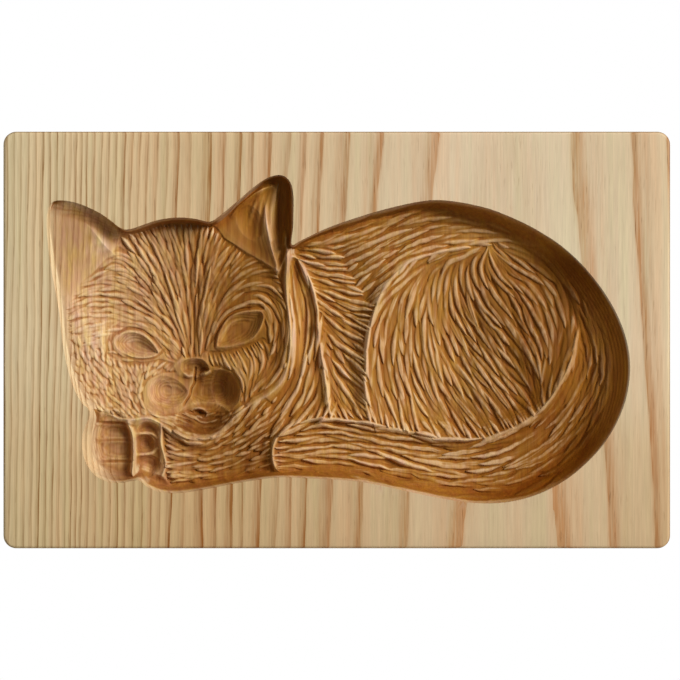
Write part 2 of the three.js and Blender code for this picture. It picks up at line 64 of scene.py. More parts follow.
OUTLINE = [
 (57,200.5),(68,201),(80,204),(92,209),(103,215),(112,221.5),(119,227),(126,229.5),(134,228),
 (144,224.5),(156,220.5),(170,218),(183,217.5),(196,219),(207,221.5),(213,220.5),(222,214),(231,206.5),(241,198),
 (252,188.5),(262,181),(271,176.5),(280,175),(287,178),(291.5,185),(293.5,197),(293.5,212),(293,228),(291.5,240),(292.5,245),
 (300,241),(312,235),(326,228.5),(342,222.5),(360,216.5),(380,210.5),(400,205.5),(420,201.5),(437,200),(455,201.5),
 (472,204.5),(490,209),(507,215.5),(525,223.5),(543,233.5),(561,245.5),(578,260.5),(592,276),(604,292),(614,308.5),
 (622,326),(627.5,344),(630,362),(629.5,380),(626,399),(619.5,417),(610.5,434),(599,450),(585,464.5),(570,477),
 (553,487.5),(535,495.5),(515,501),(494,503.5),(472,503),(450,500),(428,496),(405,491),(382,486),(360,482),
 (338,480),(316,479),(296,478),(280,477.5),(268,478.5),(254,480.5),(238,483),(220,486.5),(202,490),(186,492.5),
 (171,493.5),(158,491.5),(147,486.5),(139,480.5),(132,481),(121,483),(109,482),(98,477.5),(90,469.5),(84.5,459),
 (82,447),(82.5,435),(85.5,425),(89,417),(88.5,409.5),(82.5,403.5),(76.5,394),(71.5,381.5),(67,366),(63.5,348),
 (61,330),(59,312),(56,294),(52.5,276),(49.5,258),(47.5,240),(46.5,224),(47.5,211),(51,203.5)]

# how far in the wall reaches, mm, at points of the outline (pixels)
WALL = [((51,203),2.2),((68,201),1.0),((90,208),0.9),((112,221),1.3),((126,229),2.0),((183,217),2.2),((213,220),1.2),((240,199),1.0),((262,181),1.3),((280,175),2.4),
        ((293,200),3.8),((292,240),2.2),((308,238),3.4),((326,228),4.6),((342,222),5.0),((372,212),5.0),((400,205),4.2),((455,201),3.8),((490,209),4.6),((525,223),6.0),
        ((578,260),9.0),((604,292),10.8),((627,344),11.8),((630,362),12.0),((622,410),10.0),((610,434),8.4),((585,464),6.4),((553,487),4.8),((515,501),3.8),((472,503),3.3),
        ((405,491),2.9),((338,480),2.6),((280,477),2.4),((220,486),2.8),((171,493),3.0),((139,481),2.2),((109,482),2.4),
        ((84,459),3.2),((85,425),2.8),((88,410),1.8),((76,394),2.4),((64,348),3.2),((59,312),3.4),((52,276),3.2),((47,230),2.8)]

# broad depth of the carving: x, y, depth in mm
DEPTHS = [
 (57,214,1.6),(66,240,2.5),(84,232,2.7),(104,240,3.7),(74,270,3.0),(100,268,5.2),
 (282,188,3.6),(268,200,4.4),(250,208,5.0),(262,226,5.0),(238,226,6.2),(282,225,5.6),(284,255,5.2),
 (185,232,5.0),(150,245,5.6),(215,245,6.0),(187,265,7.4),(130,262,6.0),(245,262,6.4),
 (187,300,9.0),(105,300,6.0),(150,300,8.2),(225,300,8.0),(262,300,5.6),(72,320,1.8),
 (78,355,2.2),(88,388,2.8),(112,380,6.4),(135,340,8.6),(187,335,9.6),(238,330,8.0),(278,350,4.6),(262,350,6.0),
 (262,383,5.0),(190,378,8.6),(150,405,7.0),(205,420,7.6),(118,408,5.6),(235,405,6.6),
 (108,440,6.0),(96,470,4.2),(147,450,6.2),(155,480,4.4),
 (200,452,6.8),(238,445,6.4),(190,478,5.0),(240,470,4.8),(175,450,6.6),
 (296,280,5.6),(308,330,7.2),(296,370,6.6),(285,405,6.4),(262,425,6.0),
 (335,300,7.4),(352,300,6.4),(335,350,7.6),(355,350,6.2),(335,395,7.2),(320,400,7.0),
 (308,244,2.4),(318,236,1.6),(336,228,1.8),(356,221,2.0),(376,215,2.2),(396,210,2.8),(345,244,4.2),(372,234,4.4),(396,226,4.8),(440,214,5.2),(490,225,5.8),(535,248,5.8),(572,280,6.0),
 (345,270,6.8),(400,245,6.6),(450,236,7.0),
 (385,300,6.2),(380,360,6.0),(395,405,6.6),(412,330,8.2),(415,375,8.6),(450,280,8.6),(455,335,10.0),(440,390,9.0),(510,320,8.0),(500,375,8.0),(540,300,5.6),
 (552,350,5.0),(480,262,7.4),(520,270,6.8),
 (590,310,6.0),(590,365,6.4),(612,360,5.4),(584,405,6.6),(604,410,5.4),(555,438,6.7),(580,450,5.8),(515,470,6.8),(455,468,6.9),(395,458,6.8),(335,450,6.6),(292,450,5.6),
 (350,435,6.3),(430,450,6.6)]
SPREAD = 19.0

# crests left standing between the hollows: path, height in mm along it, reach to its left and right in pixels
CRESTS = [
 # head against neck, foreleg and paws
 ([(286,238),(287,262),(286,280),(287,300),(289.5,320),(290.5,340),(289,360),(284,377),(276,388),(265,397),(252,404),(240,411.5),(230,421),(219,431),(207,438.5),(196,440.5),(183,437),(170,430),(158,423),(146,418.5),(132,420),(118,419),(104,412),(90,408)],
  [1.2,1.7,1.8,1.8,1.8,1.8,1.7,1.7,1.6,1.6,1.6,1.6,1.6,1.6,1.6,1.6,1.5,1.4,1.4,1.4,1.4,1.4,1.2,1.0], 12, 17),
 # haunch, front and upper edge
 ([(515,238),(490,243),(465,247),(440,252),(418,258),(403,267),(391,279),(381,294),(374,312),(369,335),(366.5,358),(365.5,380),(366,400),(371,417)],
  [0.3,0.5,0.7,0.9,1.2,1.6,2.0,2.2,2.2,2.2,2.1,2.0,1.8,1.2], 24, 18),
 # haunch against tail
 ([(575,318),(577,332),(575,347),(571,361),(565,375),(557,389),(548,402),(538,412),(527,420.5),(515,427.5),(502,433),(488,437.5),(472,440),(456,439.5),(438,437),(420,433.5),(400,429.5),(380,425.5),(360,422),(340,419.5),(322,418)],
  [0.5,1.0,1.3,1.5,1.7,1.8,1.9,1.9,1.9,1.9,1.8,1.8,1.8,1.7,1.7,1.6,1.6,1.6,1.6,1.5,1.4], 16, 18),
 # end of the tail
 ([(322,418),(308,420),(296,424),(284,430.5),(276,439),(272.5,450),(273,461),(277,470),(286,475)],
  [1.4,1.6,1.8,2.0,2.1,2.1,2.1,2.0,1.4], 15, 13),
 # lock of fur on the neck
 ([(300,390),(304,365),(312,345),(318,325),(317,305),(313,288),(306,271),(299,260),(292,257),(289,266),(290,285),(292,305),(293,325),(291,345)],
  [0.4,0.8,1.0,1.3,1.4,1.4,1.3,1.2,1.2,1.0,0.8,0.6,0.5,0.3], 10, 9),
 # fold of the chest
 ([(318,325),(320,345),(323,365),(326,385),(328,402),(331,415)],
  [1.2,1.3,1.3,1.2,1.1,0.9], 9, 11),
 # between the two paws
 ([(127,424),(130.5,432),(132.5,442),(133,453),(132.5,463),(132,473),(134,480)],
  [1.2,1.5,1.6,1.6,1.6,1.6,1.3], 5.5, 6),
 # second paw against the foreleg
 ([(161,428),(160,436),(160.5,446),(163.5,456),(165,466),(162,476)],
  [0.5,0.8,1.0,1.2,1.2,0.8], 6, 7),
 # upper edge of the left ear, shallow along the rim
 ([(55,200),(68,201),(80,204),(92,209),(103,215),(112,221.5),(119,227),(124,230)],
  [1.0,2.0,2.3,2.5,2.8,3.0,3.0,2.3], 16, 16),
 # fold inside the left ear
 ([(86,224),(94,232),(101,241),(108,249),(116,256)],
  [0.1,0.4,0.5,0.4,0.2], 9, 10),
 # forehead under the right ear
 ([(214,224),(222,235),(236,245),(250,254),(264,262),(276,270)],
  [0.1,0.2,0.3,0.4,0.5,0.5], 12, 10),
 # inner edge of the right ear
 ([(292,246),(286,256),(281,266),(277,276)],
  [0.8,0.9,0.8,0.4], 6, 6),
 # rolled edge and fold inside the right ear
 ([(232,214),(238,206.5),(246,200),(254,194),(263,189),(271,186)],
  [0.5,1.0,1.2,1.2,1.0,0.5], 5, 6),
 ([(264,200),(265.5,212),(267,226),(269.5,240),(273,254),(277,266)],
  [0.5,1.2,1.7,1.8,1.6,0.9], 15, 19),
]

# rounded swells: centre x, y, half axes (pixels), turn (degrees), extra depth (mm), roundness
SWELLS = [
 (105,374, 50,42, -25, 0.5, 1.5),(252,362, 40,44,  20, 0.6, 1.5),
 (130,338, 40,27, -16,-0.9, 1.6),(238,326, 40,27,  30,-0.9, 1.6),
 (189,325, 15,50,  -2, 0.8, 1.4),
 (192,392, 54,34,   0, 1.3, 1.1),(203,421, 29,18,   0, 1.5, 0.9),
 (225,387, 16,20,   0, 1.1, 1.0),(159,392, 11,12,   0, 0.6, 1.0),
 (281,215, 7,40,    -2, 0.9, 1.0),(282,262, 5,18,    -8, 0.8, 1.0),(250,222, 13,20, 28, 0.6, 1.2),
 (113,446, 21,36,   3, 1.2, 0.7),(146,450, 14,28,   2, 1.0, 0.8),(154,483, 13,9, -15, 0.7, 1.0)]

# hollows with a sharp edge: closed outline, extra depth (mm), rounding inside the edge (pixels), raised lip (mm)
POOLS = [
 # eyes
 ([(113.5,342),(117,337),(123,333),(131,332),(140,334.5),(147.5,340),(153,346.5),(156.5,353.5),(151,356.5),(142,357.8),(132,357),(122.5,353.5),(116,348.5)], 1.8, 12, 0.12),
 ([(216.5,346),(217.5,338),(221,328),(227,319),(237,313.5),(250,311.5),(260,311.5),(263,317),(260,327),(254,336),(246,341.5),(236,344.5),(226,346.5)], 2.0, 12, 0.06),
 # nose
 ([(178.5,368),(179.5,362.5),(184,359.5),(191,358),(198.5,359),(204,362),(207,367.5),(205,372.5),(200,375.5),(192,376.5),(185,375),(180.5,372)], 1.3, 8, 0.0),
 # the two pads of the muzzle
 ([(146,392),(147.5,384.5),(153,378.5),(161,376),(169,377.5),(176,381),(182,386),(186,392),(183.5,399.5),(178,405),(171,409),(162.5,410),(153.5,406.5),(148,400)], 1.9, 17, 0.0),
 ([(190,389),(193,381),(199,376),(208,371.5),(220,370),(230,373),(237,381),(240,392),(237.5,402),(231,409),(221,413),(210,413),(200,410),(193,405),(188.5,397)], 3.0, 22, 0.0),
 # left paw: four joints
 ([(101,412),(107,410),(115,411),(122,415),(123.5,420.5),(117,422.5),(107,422.5),(101,419)], 0.7, 8, 0.0),
 ([(95,431),(97.5,425.5),(104,423.3),(116,423.2),(127,424.5),(131.5,428.5),(132.5,435),(132,440),(115,440.3),(96,440)], 0.9, 9, 0.0),
 ([(95,442),(115,441.2),(132,441.3),(132.5,450),(132,459),(127,461.3),(112,461.5),(98,461),(95,452)], 0.9, 9, 0.0),
 ([(96,463),(112,462.4),(127,462.3),(132,462.5),(132.5,470),(129,476.5),(119,480),(107,479.5),(99,475.5),(96.5,469)], 0.8, 9, 0.0),
 # second paw: three joints
 ([(136,429),(138.5,424),(145,421.8),(152,423),(157.5,427),(158,432),(152,434.6),(143,434.6),(137.5,433)], 0.9, 7, 0.0),
 ([(132,445),(133.5,439),(138.5,435.8),(146,435.5),(151.5,439),(153.5,445),(151.5,451),(145.5,453.5),(138,453),(133.5,450.5)], 1.9, 8, 0.0),
 ([(133.5,463),(136,457.6),(143,455.8),(151,456),(157,458.8),(160,465),(157.5,472),(151,477.5),(143,478.5),(136.5,474),(133.8,468)], 1.6, 10, 0.0),
]

# fine strokes: path, extra depth along it (mm, minus is a ridge), half width (pixels)
STROKES = [
 ([(262,188),(254,206),(248,224)],[-0.1,-0.3,-0.1], 3.4),([(269,186),(263,206),(259,234)],[0.1,0.35,0.2], 3.2),([(276,184),(272,208),(271,240)],[-0.1,-0.35,-0.2], 3.6),([(283,182),(280,206),(280,242)],[0.1,0.3,0.2], 3.0),   # cuts down the right ear
 ([(197,362),(197,370),(196.5,378),(196,386),(193,393),(190,400),(185,406)],[0.2,0.4,0.4,0.4,0.4,0.3,0.2], 6.0),                    # furrow below the nose
 ([(193.5,368),(193,376),(192.5,383),(189.5,389),(188,396),(184,402),(181.5,407)],[0.4,0.7,0.6,0.7,0.5,0.5,0.1], 1.8),
 ([(183,374),(186,376.5),(189.5,376)],[-0.3,-0.7,-0.3], 2.8),([(200,375),(204,374.5),(208,372.5)],[-0.4,-0.8,-0.4], 2.8),          # wings of the nose
 ([(184,371),(187,370),(190,371.5)],[0.1,0.2,0.1], 2.6),([(199,371.5),(202.5,369.5),(205.5,370)],[0.4,0.7,0.4], 3.0),
 ([(189,411.5),(194,409.3),(199,408.8),(204,410.5)],[-0.2,-0.5,-0.5,-0.2], 2.3),                     # lips
 ([(190,413.5),(194,413.6),(198,413.8),(202,415)],[0.4,0.9,1.4,0.6], 3.8),
 ([(143,409),(152,414),(163,416.5),(174,416),(184,413)],[-0.1,-0.15,-0.2,-0.25,-0.2], 3.2),
 ([(172,424),(181,431),(191,436),(202,438),(213,436.5),(223,431),(232,423)],[-0.1,-0.2,-0.25,-0.25,-0.25,-0.2,-0.1], 4.0),          # under the chin
 ([(97,423.2),(110,423.3),(122,423.6),(131,426.5)],[0.2,0.5,0.5,0.3], 2.4),([(95,441),(113,440.6),(132,440.6)],[0.1,0.3,0.2], 2.2),([(97,462),(113,461.8),(132,461.8)],[0.2,0.5,0.3], 2.4),   # between the joints
 ([(136,434.2),(143,433.6),(150,434.2),(155,438)],[-0.2,-0.4,-0.4,-0.2], 2.4),([(135,455),(144,455),(151,453.5),(156,449)],[-0.2,-0.4,-0.45,-0.2], 2.6),
 ([(103,352),(101,340),(102,326),(106,316),(117,311.5),(131,313),(145,318),(157,327),(167,338),(175,350)],[-0.1,-0.15,-0.2,-0.2,-0.15,-0.15,-0.15,-0.2,-0.2,-0.1], 4.0),   # rim of the left eye socket
 ([(117,333.5),(124,328.8),(134,328.6),(143,332.3),(151,338.5),(158,348)],[0.15,0.35,0.4,0.4,0.4,0.2], 2.4),                                # upper lid
 ([(118,351),(124,355.5),(133,359),(143,359.6),(152,358),(158,354),(162,350)],[0.1,0.25,0.3,0.35,0.4,0.4,0.15], 2.2),       # lower lid
 ([(213,346),(215,335),(220,324.5),(228,315),(239,310),(251,308),(262,308)],[0.2,0.4,0.55,0.6,0.55,0.5,0.3], 2.6),                  # over the right eye
 ([(220,341),(224,331),(231,323),(240,319)],[-0.1,-0.3,-0.25,-0.1], 3.2),                                                           # fold inside the right eye
]

# skin without fur: closed outline, level against the fur (mm), softness of its edge (mm)
SMOOTH = [
 ([(111.5,342),(115,335.5),(122,331),(131,330),(141,332.5),(149.5,338),(155.5,344.5),(160,353.5),(155,358),(144,360),(132,359.5),(121,356),(114,350)], -0.02, 0.45),
 ([(170,366),(176,361),(181,359),(182,372),(177,376)], -0.02, 0.6),
 ([(214,347.5),(215,337),(219,326),(227,315.5),(238,310.5),(252,309),(262.5,309.5),(264.5,318),(261,329),(254.5,338),(244,344),(228,348),(216,349)], -0.03, 0.4),
 ([(176,366),(179,360),(185,357.5),(199,357.5),(206,362),(209.5,367),(209.5,373),(200,379),(182,378),(175,373)], -0.02, 0.6),
 ([(40,196),(66,196),(92,205),(112,218),(121,232),(118,247),(110,258),(98,268),(84,282),(74,298),(66,310),(40,310)], -0.10, 1.2),
 ([(214,216),(240,190),(262,172),(296,170),(298,250),(287,262),(281,275),(270,270),(256,259),(243,250),(230,240),(220,231)], -0.10, 1.5),
]

def mmx(p): return (p - CX)/PX
def mmy(p): return (CY - p)/PX

def mm(pts, k=1.0):
    a = np.asarray(pts, float)
    return np.stack([mmx(a[:, 0])*k, mmy(a[:, 1])*k], 1)

def catmull(pts, closed, n=6):
    p = np.asarray(pts, float); m = len(p); out = []
    for i in (range(m) if closed else range(m-1)):
        if closed:
            p0, p1, p2, p3 = p[(i-1) % m], p[i], p[(i+1) % m], p[(i+2) % m]
        else:
            p1, p2 = p[i], p[i+1]
            p0 = p[i-1] if i > 0 else 2*p1-p2
            p3 = p[i+2] if i+2 < m else 2*p2-p1
        for j in range(n):
            t = j/n
            out.append(0.5*((2*p1)+(-p0+p2)*t+(2*p0-5*p1+4*p2-p3)*t*t+(-p0+3*p1-3*p2+p3)*t**3))
    if not closed: out.append(p[-1])
    return np.array(out)

class Grid:
    def __init__(self, x, y):
        self.x, self.y = np.asarray(x, float), np.asarray(y, float)
        self.X, self.Y = np.meshgrid(self.x, self.y)
    def window(self, x0, x1, y0, y1):
        i0, i1 = np.searchsorted(self.x, [x0, x1]); j0, j1 = np.searchsorted(self.y, [y0, y1])
        return slice(j0, j1), slice(i0, i1)

def along(path):
    return np.concatenate([[0], np.cumsum(np.linalg.norm(np.diff(path, axis=0), axis=1))])

def nearest(g, path, reach):
    """distance to a path, share of its length, side (+1 left) and the nearest point, out to reach"""
    D = np.full(g.X.shape, reach, float); T = np.zeros(g.X.shape); S = np.ones(g.X.shape)
    NX = np.zeros(g.X.shape); NY = np.zeros(g.X.shape)
    s = along(path)
    for i in range(len(path)-1):
        a, b = path[i], path[i+1]; dx, dy = b-a; L2 = dx*dx+dy*dy
        if L2 < 1e-14: continue
        w = g.window(min(a[0], b[0])-reach, max(a[0], b[0])+reach, min(a[1], b[1])-reach, max(a[1], b[1])+reach)
        X, Y = g.X[w], g.Y[w]
        t = np.clip(((X-a[0])*dx+(Y-a[1])*dy)/L2, 0, 1)
        px, py = a[0]+t*dx, a[1]+t*dy
        d = np.hypot(X-px, Y-py); m = d < D[w]
        if not m.any(): continue
        D[w] = np.where(m, d, D[w]); T[w] = np.where(m, (s[i]+t*(s[i+1]-s[i]))/s[-1], T[w])
        S[w] = np.where(m, np.where(dx*(Y-a[1])-dy*(X-a[0]) >= 0, 1.0, -1.0), S[w])
        NX[w] = np.where(m, px, NX[w]); NY[w] = np.where(m, py, NY[w])
    return D, T, S, NX, NY

def inside(g, poly):
    res = np.zeros(g.X.shape, bool); q = np.vstack([poly, poly[:1]]); a, b = q[:-1], q[1:]
    for j, y in enumerate(g.y):
        m = (a[:, 1] > y) != (b[:, 1] > y)
        xs = np.sort(a[m, 0]+(y-a[m, 1])*(b[m, 0]-a[m, 0])/(b[m, 1]-a[m, 1]))
        for k in range(0, len(xs)-1, 2): res[j] |= (g.x > xs[k]) & (g.x < xs[k+1])
    return res

def in_poly(poly, q):
    x, y = q[:, 0], q[:, 1]; res = np.zeros(len(q), bool); n = len(poly)
    for i in range(n):
        x1, y1 = poly[i]; x2, y2 = poly[(i+1) % n]
        if y1 != y2: res ^= ((y1 > y) != (y2 > y)) & (x < (x2-x1)*(y-y1)/(y2-y1)+x1)
    return res

def smax(a, b, k):
    h = np.clip(0.5+0.5*(a-b)/k, 0, 1)
    return b+(a-b)*h+k*h*(1-h)
def smin(a, b, k): return -smax(-a, -b, k)

def blur(A, r):
    """box blur three times over, radius r cells: close to a Gaussian"""
    for _ in range(3):
        for ax in (0, 1):
            c = np.cumsum(np.pad(A, [(r+1, r) if k == ax else (0, 0) for k in (0, 1)], mode="edge"), axis=ax)
            n = A.shape[ax]
            A = (np.take(c, np.arange(2*r+1, 2*r+1+n), axis=ax)-np.take(c, np.arange(0, n), axis=ax))/(2*r+1)
    return A

def outline_mm(n=8): return catmull(mm(OUTLINE), True, n)

def wall_profile(d, w, deep=6.4):
    t = np.clip(d/w, 0, 1); p = np.interp(w, [3.5, 11.0], [2.2, 1.35])
    return deep*(1-(1-t)**p)+np.clip(d-w, 0, None)*0.9

def base_depth(g):
    """broad depth without wall, signed distance to the outline, and wall reach"""
    num = np.zeros(g.X.shape); den = np.full(g.X.shape, 1e-30); s2 = 2*(SPREAD/PX)**2
    for px, py, h in DEPTHS:
        w = np.exp(-((g.X-mmx(px)*KI)**2+(g.Y-mmy(py)*KI)**2)/s2)+1e-14
        num += w*h; den += w
    Z = num/den
    for pts, amp, wl, wr in CRESTS:
        path = catmull(mm(pts, KI), False, 6)
        D, T, S, _, _ = nearest(g, path, max(wl, wr)/PX*1.05)
        s = along(path)/along(path)[-1]
        a = np.interp(T, s, np.interp(np.linspace(0, 1, len(path)), np.linspace(0, 1, len(amp)), amp))
        Z = Z-a*np.clip(1-D/(np.where(S > 0, wl, wr)/PX), 0, 1)**1.8
    for cx, cy, a, b, rot, h, sh in SWELLS:
        x, y = mmx(cx)*KI, mmy(cy)*KI; c, s = np.cos(np.radians(rot)), np.sin(np.radians(rot))
        u = (g.X-x)*c+(g.Y-y)*s; v = -(g.X-x)*s+(g.Y-y)*c
        Z = Z+h*np.clip(1-(u/(a/PX))**2-(v/(b/PX))**2, 0, 1)**sh
    P = np.zeros(g.X.shape)
    for pts, h, wr, lip in POOLS:
        path = catmull(mm(pts, KI), True, 6); path = np.vstack([path, path[:1]])
        D = nearest(g, path, wr/PX)[0]; ins = inside(g, path[:-1])
        t = np.clip(D/(wr/PX), 0, 1)
        P = P+np.where(ins, h*(1-(1-t)**1.6), 0); Z = Z-lip*np.clip(1-D/(3.6/PX), 0, 1)**2
    for pts, amp, hw in STROKES:
        path = catmull(mm(pts, KI), False, 6); D, T, _, _, _ = nearest(g, path, hw/PX)
        s = along(path)/along(path)[-1]
        a = np.interp(T, s, np.interp(np.linspace(0, 1, len(path)), np.linspace(0, 1, len(amp)), amp))
        Z = Z+a*(1-np.clip(D/(hw/PX), 0, 1)**2)**2
    out = outline_mm(); loop = np.vstack([out, out[:1]])
    D, T, S, NX, NY = nearest(g, loop, 13.0)
    d = np.where(inside(g, out), D, -D)
    # wall reach by the place along the outline
    s = along(loop)/along(loop)[-1]; keys = []
    for p, w in WALL:
        q = mm([p])[0]; keys.append((s[np.argmin(((loop-q)**2).sum(1))], w))
    keys.sort(); ks = np.array([k for k, _ in keys]); kw = np.array([w for _, w in keys])
    W = np.interp(T, np.concatenate([[ks[-1]-1], ks, [ks[0]+1]]), np.concatenate([[kw[-1]], kw, [kw[0]]]))
    return Z+P, d, W, NX, NY, P

# ---------------------------------------------------------------------------------------------------------------
# Fur: lens-shaped scooped cuts that follow guide strokes from root to tip, the deepest winning
# ---------------------------------------------------------------------------------------------------------------
def rev(guides): return [list(reversed(p)) for p in guides]

def grow(poly, px):
    """a closed polygon of pixel points moved outward"""
    p = np.asarray(poly, float); a = np.roll(p, 1, 0); b = np.roll(p, -1, 0)
    area = 0.5*np.sum(a[:, 0]*p[:, 1]-p[:, 0]*a[:, 1]); t = b-a; t /= np.linalg.norm(t, axis=1, keepdims=True)+1e-9
    n = np.stack([t[:, 1], -t[:, 0]], 1)*np.sign(area)
    return p+n*px

HAUNCH_P = [(404,262),(418,256),(440,251),(465,246),(490,243),(512,239),(530,243),(550,258),(567,280),(577,303),(578.5,332),(576,350),(570,370),(560,388),(547,404),(530,419),(512,428.5),(492,436),(470,439.5),(445,438),(420,433.5),(395,428.5),(372,423),(366.5,405),(365.5,380),(367,350),(371,325),(379,298),(390,280)]
HAUNCH_G = [
 [(407.6,280),(391,291),(381,302),(373,326),(369,359),(370.7,387),(377,412)],
 [(428,266),(411,278),(399,306),(394,342),(396,378),(404,411)],
 [(446,260),(429,268),(419.5,297),(417,330),(422,366),(434,397),(448,418)],
 [(466,255),(449,262),(441,287),(441,318),(453,349),(469.5,378),(493,411)],
 [(482,250),(465,258),(460,283),(465,309),(481,337),(503,368),(531,399)],
 [(488,249),(479,262),(479,278),(491,304),(510,330),(527,359),(539,390)],
 [(491,249),(503,275),(522,297),(536,325),(546,354),(543,392)],
 [(496,247),(517,264),(541,285),(558,312),(563,342),(550,390)],
 [(503,245),(531,253),(555,274),(570,299),(575,325),(571,349),(556,387)],
]
BACK_P = [(292,246),(297,237),(309,229),(323,222),(339,215.5),(357,209.5),(378,204),(399,200.5),(420,199),(437,200),(455,201.5),(472,204.5),(490,209),(507,215.5),(525,223.5),(543,233.5),(561,245.5),(578,260.5),(592,276),(598,300),(580,306),(567,280),(550,258),(530,243),(512,239),(490,243),(465,246),(440,251),(418,256),(404,262),(390,280),(379,298),(371,310),(362,298),(350,282),(343,268),(338,254),(322,247),(300,248)]
BACK_G = [
 [(296,246),(320,238),(345,227),(370,218),(395,211),(420,206)],
 [(330,246),(350,239),(372,230),(400,219),(430,211),(460,211),(490,217)],
 [(345,256),(370,244),(398,231),(430,221),(460,220),(490,224),(520,236)],
 [(350,270),(378,254),(410,241),(440,233),(470,230),(505,233),(532,244)],
 [(354,284),(372,271),(395,256),(420,245),(450,240),(480,238),(510,237)],
 [(362,297),(375,284),(390,270),(408,257),(430,249)],
 [(490,214),(520,226),(548,243),(570,262),(588,285),(596,305)],
 [(505,234),(530,242),(552,256),(572,280),(584,305)],
]
SHOULDER_P = [(292,248),(300,246),(322,246),(340,251),(347,262),(352,276),(362,292),(374,306),(370,325),(367,345),(366,375),(366,400),(369,419),(345,420),(330,419),(326,395),(322,365),(318,338),(317,308),(311,284),(304,266)]
SHOULDER_G = [
 [(296,249),(315,252),(333,254),(348,256)],
 [(304,259),(322,263),(338,265),(350,266)],
 [(309,270),(326,274),(342,276),(355,278)],
 [(312,282),(330,287),(348,292),(366,297)],
 [(314,292),(332,300),(350,308),(369,312)],
 [(317,303),(333,315),(350,326),(366,334)],
 [(318,315),(332,333),(348,349),(364,360)],
 [(319,330),(333,352),(348,370),(364,385)],
 [(321,345),(333,370),(348,392),(362,408)],
 [(324,362),(334,385),(346,405),(356,419)],
 [(326,380),(333,400),(342,419)],
]
LOCK_P = [(291,257),(297,259),(305,271),(312,288),(316.5,305),(317.5,325),(314,342),(306,357),(300,380),(292,398),(283,410),(272,420),(266,420),(272,403),(282,392),(290,376),(293.5,350),(293.5,325),(291,300),(289.5,275)]
LOCK_G = [
 [(292,262),(297,285),(302,310),(303,335),(300,360),(293,382),(282,402),(272,414)],
 [(296,262),(305,283),(311,305),(312,328),(308,350),(301,372),(294,392)],
 [(290,275),(293,300),(296,325),(296,350),(292,375),(283,393)],
]
RUFF_P = [(318,330),(322,362),(326,392),(331,418),(310,419),(294,424),(282,431),(272,440),(266,436),(268,424),(280,412),(293,398),(301,380),(306,358),(313,344)]
RUFF_G = [
 [(316,345),(311,370),(303,393),(292,412),(278,428)],
 [(319,360),(317,383),(308,402),(296,416)],
 [(322,380),(321,400),(314,416)],
]
TAIL_P = [(579,302),(594,280),(604,292),(614,308.5),(622,326),(627.5,344),(630,362),(629.5,380),(626,399),(619.5,417),(610.5,434),(599,450),(585,464.5),(570,477),(553,487.5),(535,495.5),(515,501),(494,507),(472,507),(450,504.5),(428,500.5),(405,495.5),(382,490.5),(360,486.5),(338,484),(316,482.5),(296,480),(284,476),(276,468),(273.5,458),(274,447),(279,436),(290,428),(305,422),(322,419),(340,420.5),(360,423),(380,426.5),(400,430.5),(420,434.5),(438,438),(456,440.5),(472,441),(488,438.5),(502,434),(515,428.5),(527,421.5),(538,413),(548,403),(557,390),(565,376),(571,362),(575.5,348),(577,330)]
TAIL_G = [
 [(590,290),(604,318),(612,348),(611,378),(601,408),(584,437),(560,462),(530,480),(495,489),(460,489)],
 [(585,305),(596,335),(600,362),(594,390),(580,416),(559,440),(530,459),(496,471),(460,474),(425,470)],
 [(578,330),(584,355),(578,380),(566,402),(546,424),(520,440),(490,450),(455,453),(420,448)],
 [(620,345),(624,372),(616,405),(600,434),(576,460),(548,480),(515,493),(480,497)],
 [(500,437),(470,446),(440,445),(410,439),(380,433),(350,427),(322,424),(298,430)],
 [(460,460),(425,458),(390,451),(355,444),(322,441),(292,444)],
 [(450,486),(415,480),(380,472),(345,466),(312,463),(285,463)],
 [(440,494),(400,487),(360,479),(320,474),(292,472)],
 [(500,503),(460,501),(420,495),(380,487),(340,481),(300,478)],
]
FORE_P = [(163,424),(172,432),(184,439),(196,443),(208,441),(220,433),(231,423),(241,413),(253,406),(264,400),(272,408),(270,424),(268,440),(268,455),(270,468),(268,477),(252,480.5),(236,483),(220,486),(202,489),(186,491.5),(176,488),(168,478),(165,462),(166,446)]
FORE_G = [
 [(266,408),(252,420),(238,432),(224,443),(208,450),(190,452)],
 [(268,425),(250,438),(230,450),(208,458),(185,460)],
 [(268,445),(248,455),(225,464),(200,469),(178,470)],
 [(266,462),(245,468),(222,476),(198,481),(180,482)],
 [(200,444),(188,444),(175,438),(168,432)],
]
FHEAD_P = [(118,238),(128,231.5),(140,227),(156,222),(170,219.5),(183,219),(196,220.5),(207,223),(216,228),(222,236),(217,255),(210,280),(203,305),(200,330),(200,350),(198,360),(184,360),(181,350),(178,336),(170,316),(158,296),(144,276),(130,256)]
FHEAD_G = rev([
 [(121,240),(136,258),(152,280),(168,307),(180,336),(186,356)],
 [(132,233),(148,256),(162,282),(174,310),(183,338)],
 [(144,228),(158,252),(170,280),(179,310),(185,340)],
 [(157,224),(168,250),(177,278),(183,308),(187,345)],
 [(170,221),(178,248),(184,278),(187,310),(188,350)],
 [(184,220),(187,248),(189,278),(189,310),(190,350)],
 [(198,222),(196,248),(194,278),(192,310),(192,350)],
 [(210,226),(204,252),(200,280),(196,310),(194,350)],
 [(220,236),(212,260),(206,286),(200,318),(197,350)],
])
LHEAD_P = [(98,268),(106,256),(117,246),(128,254),(143,274),(157,295),(169,316),(177,336),(180,352),(176,362),(166,358),(158,345),(148,337),(135,331),(120,330),(108,338),(104,350),(96,345),(84,340),(70,340),(66,320),(64,305),(72,292),(84,281)]
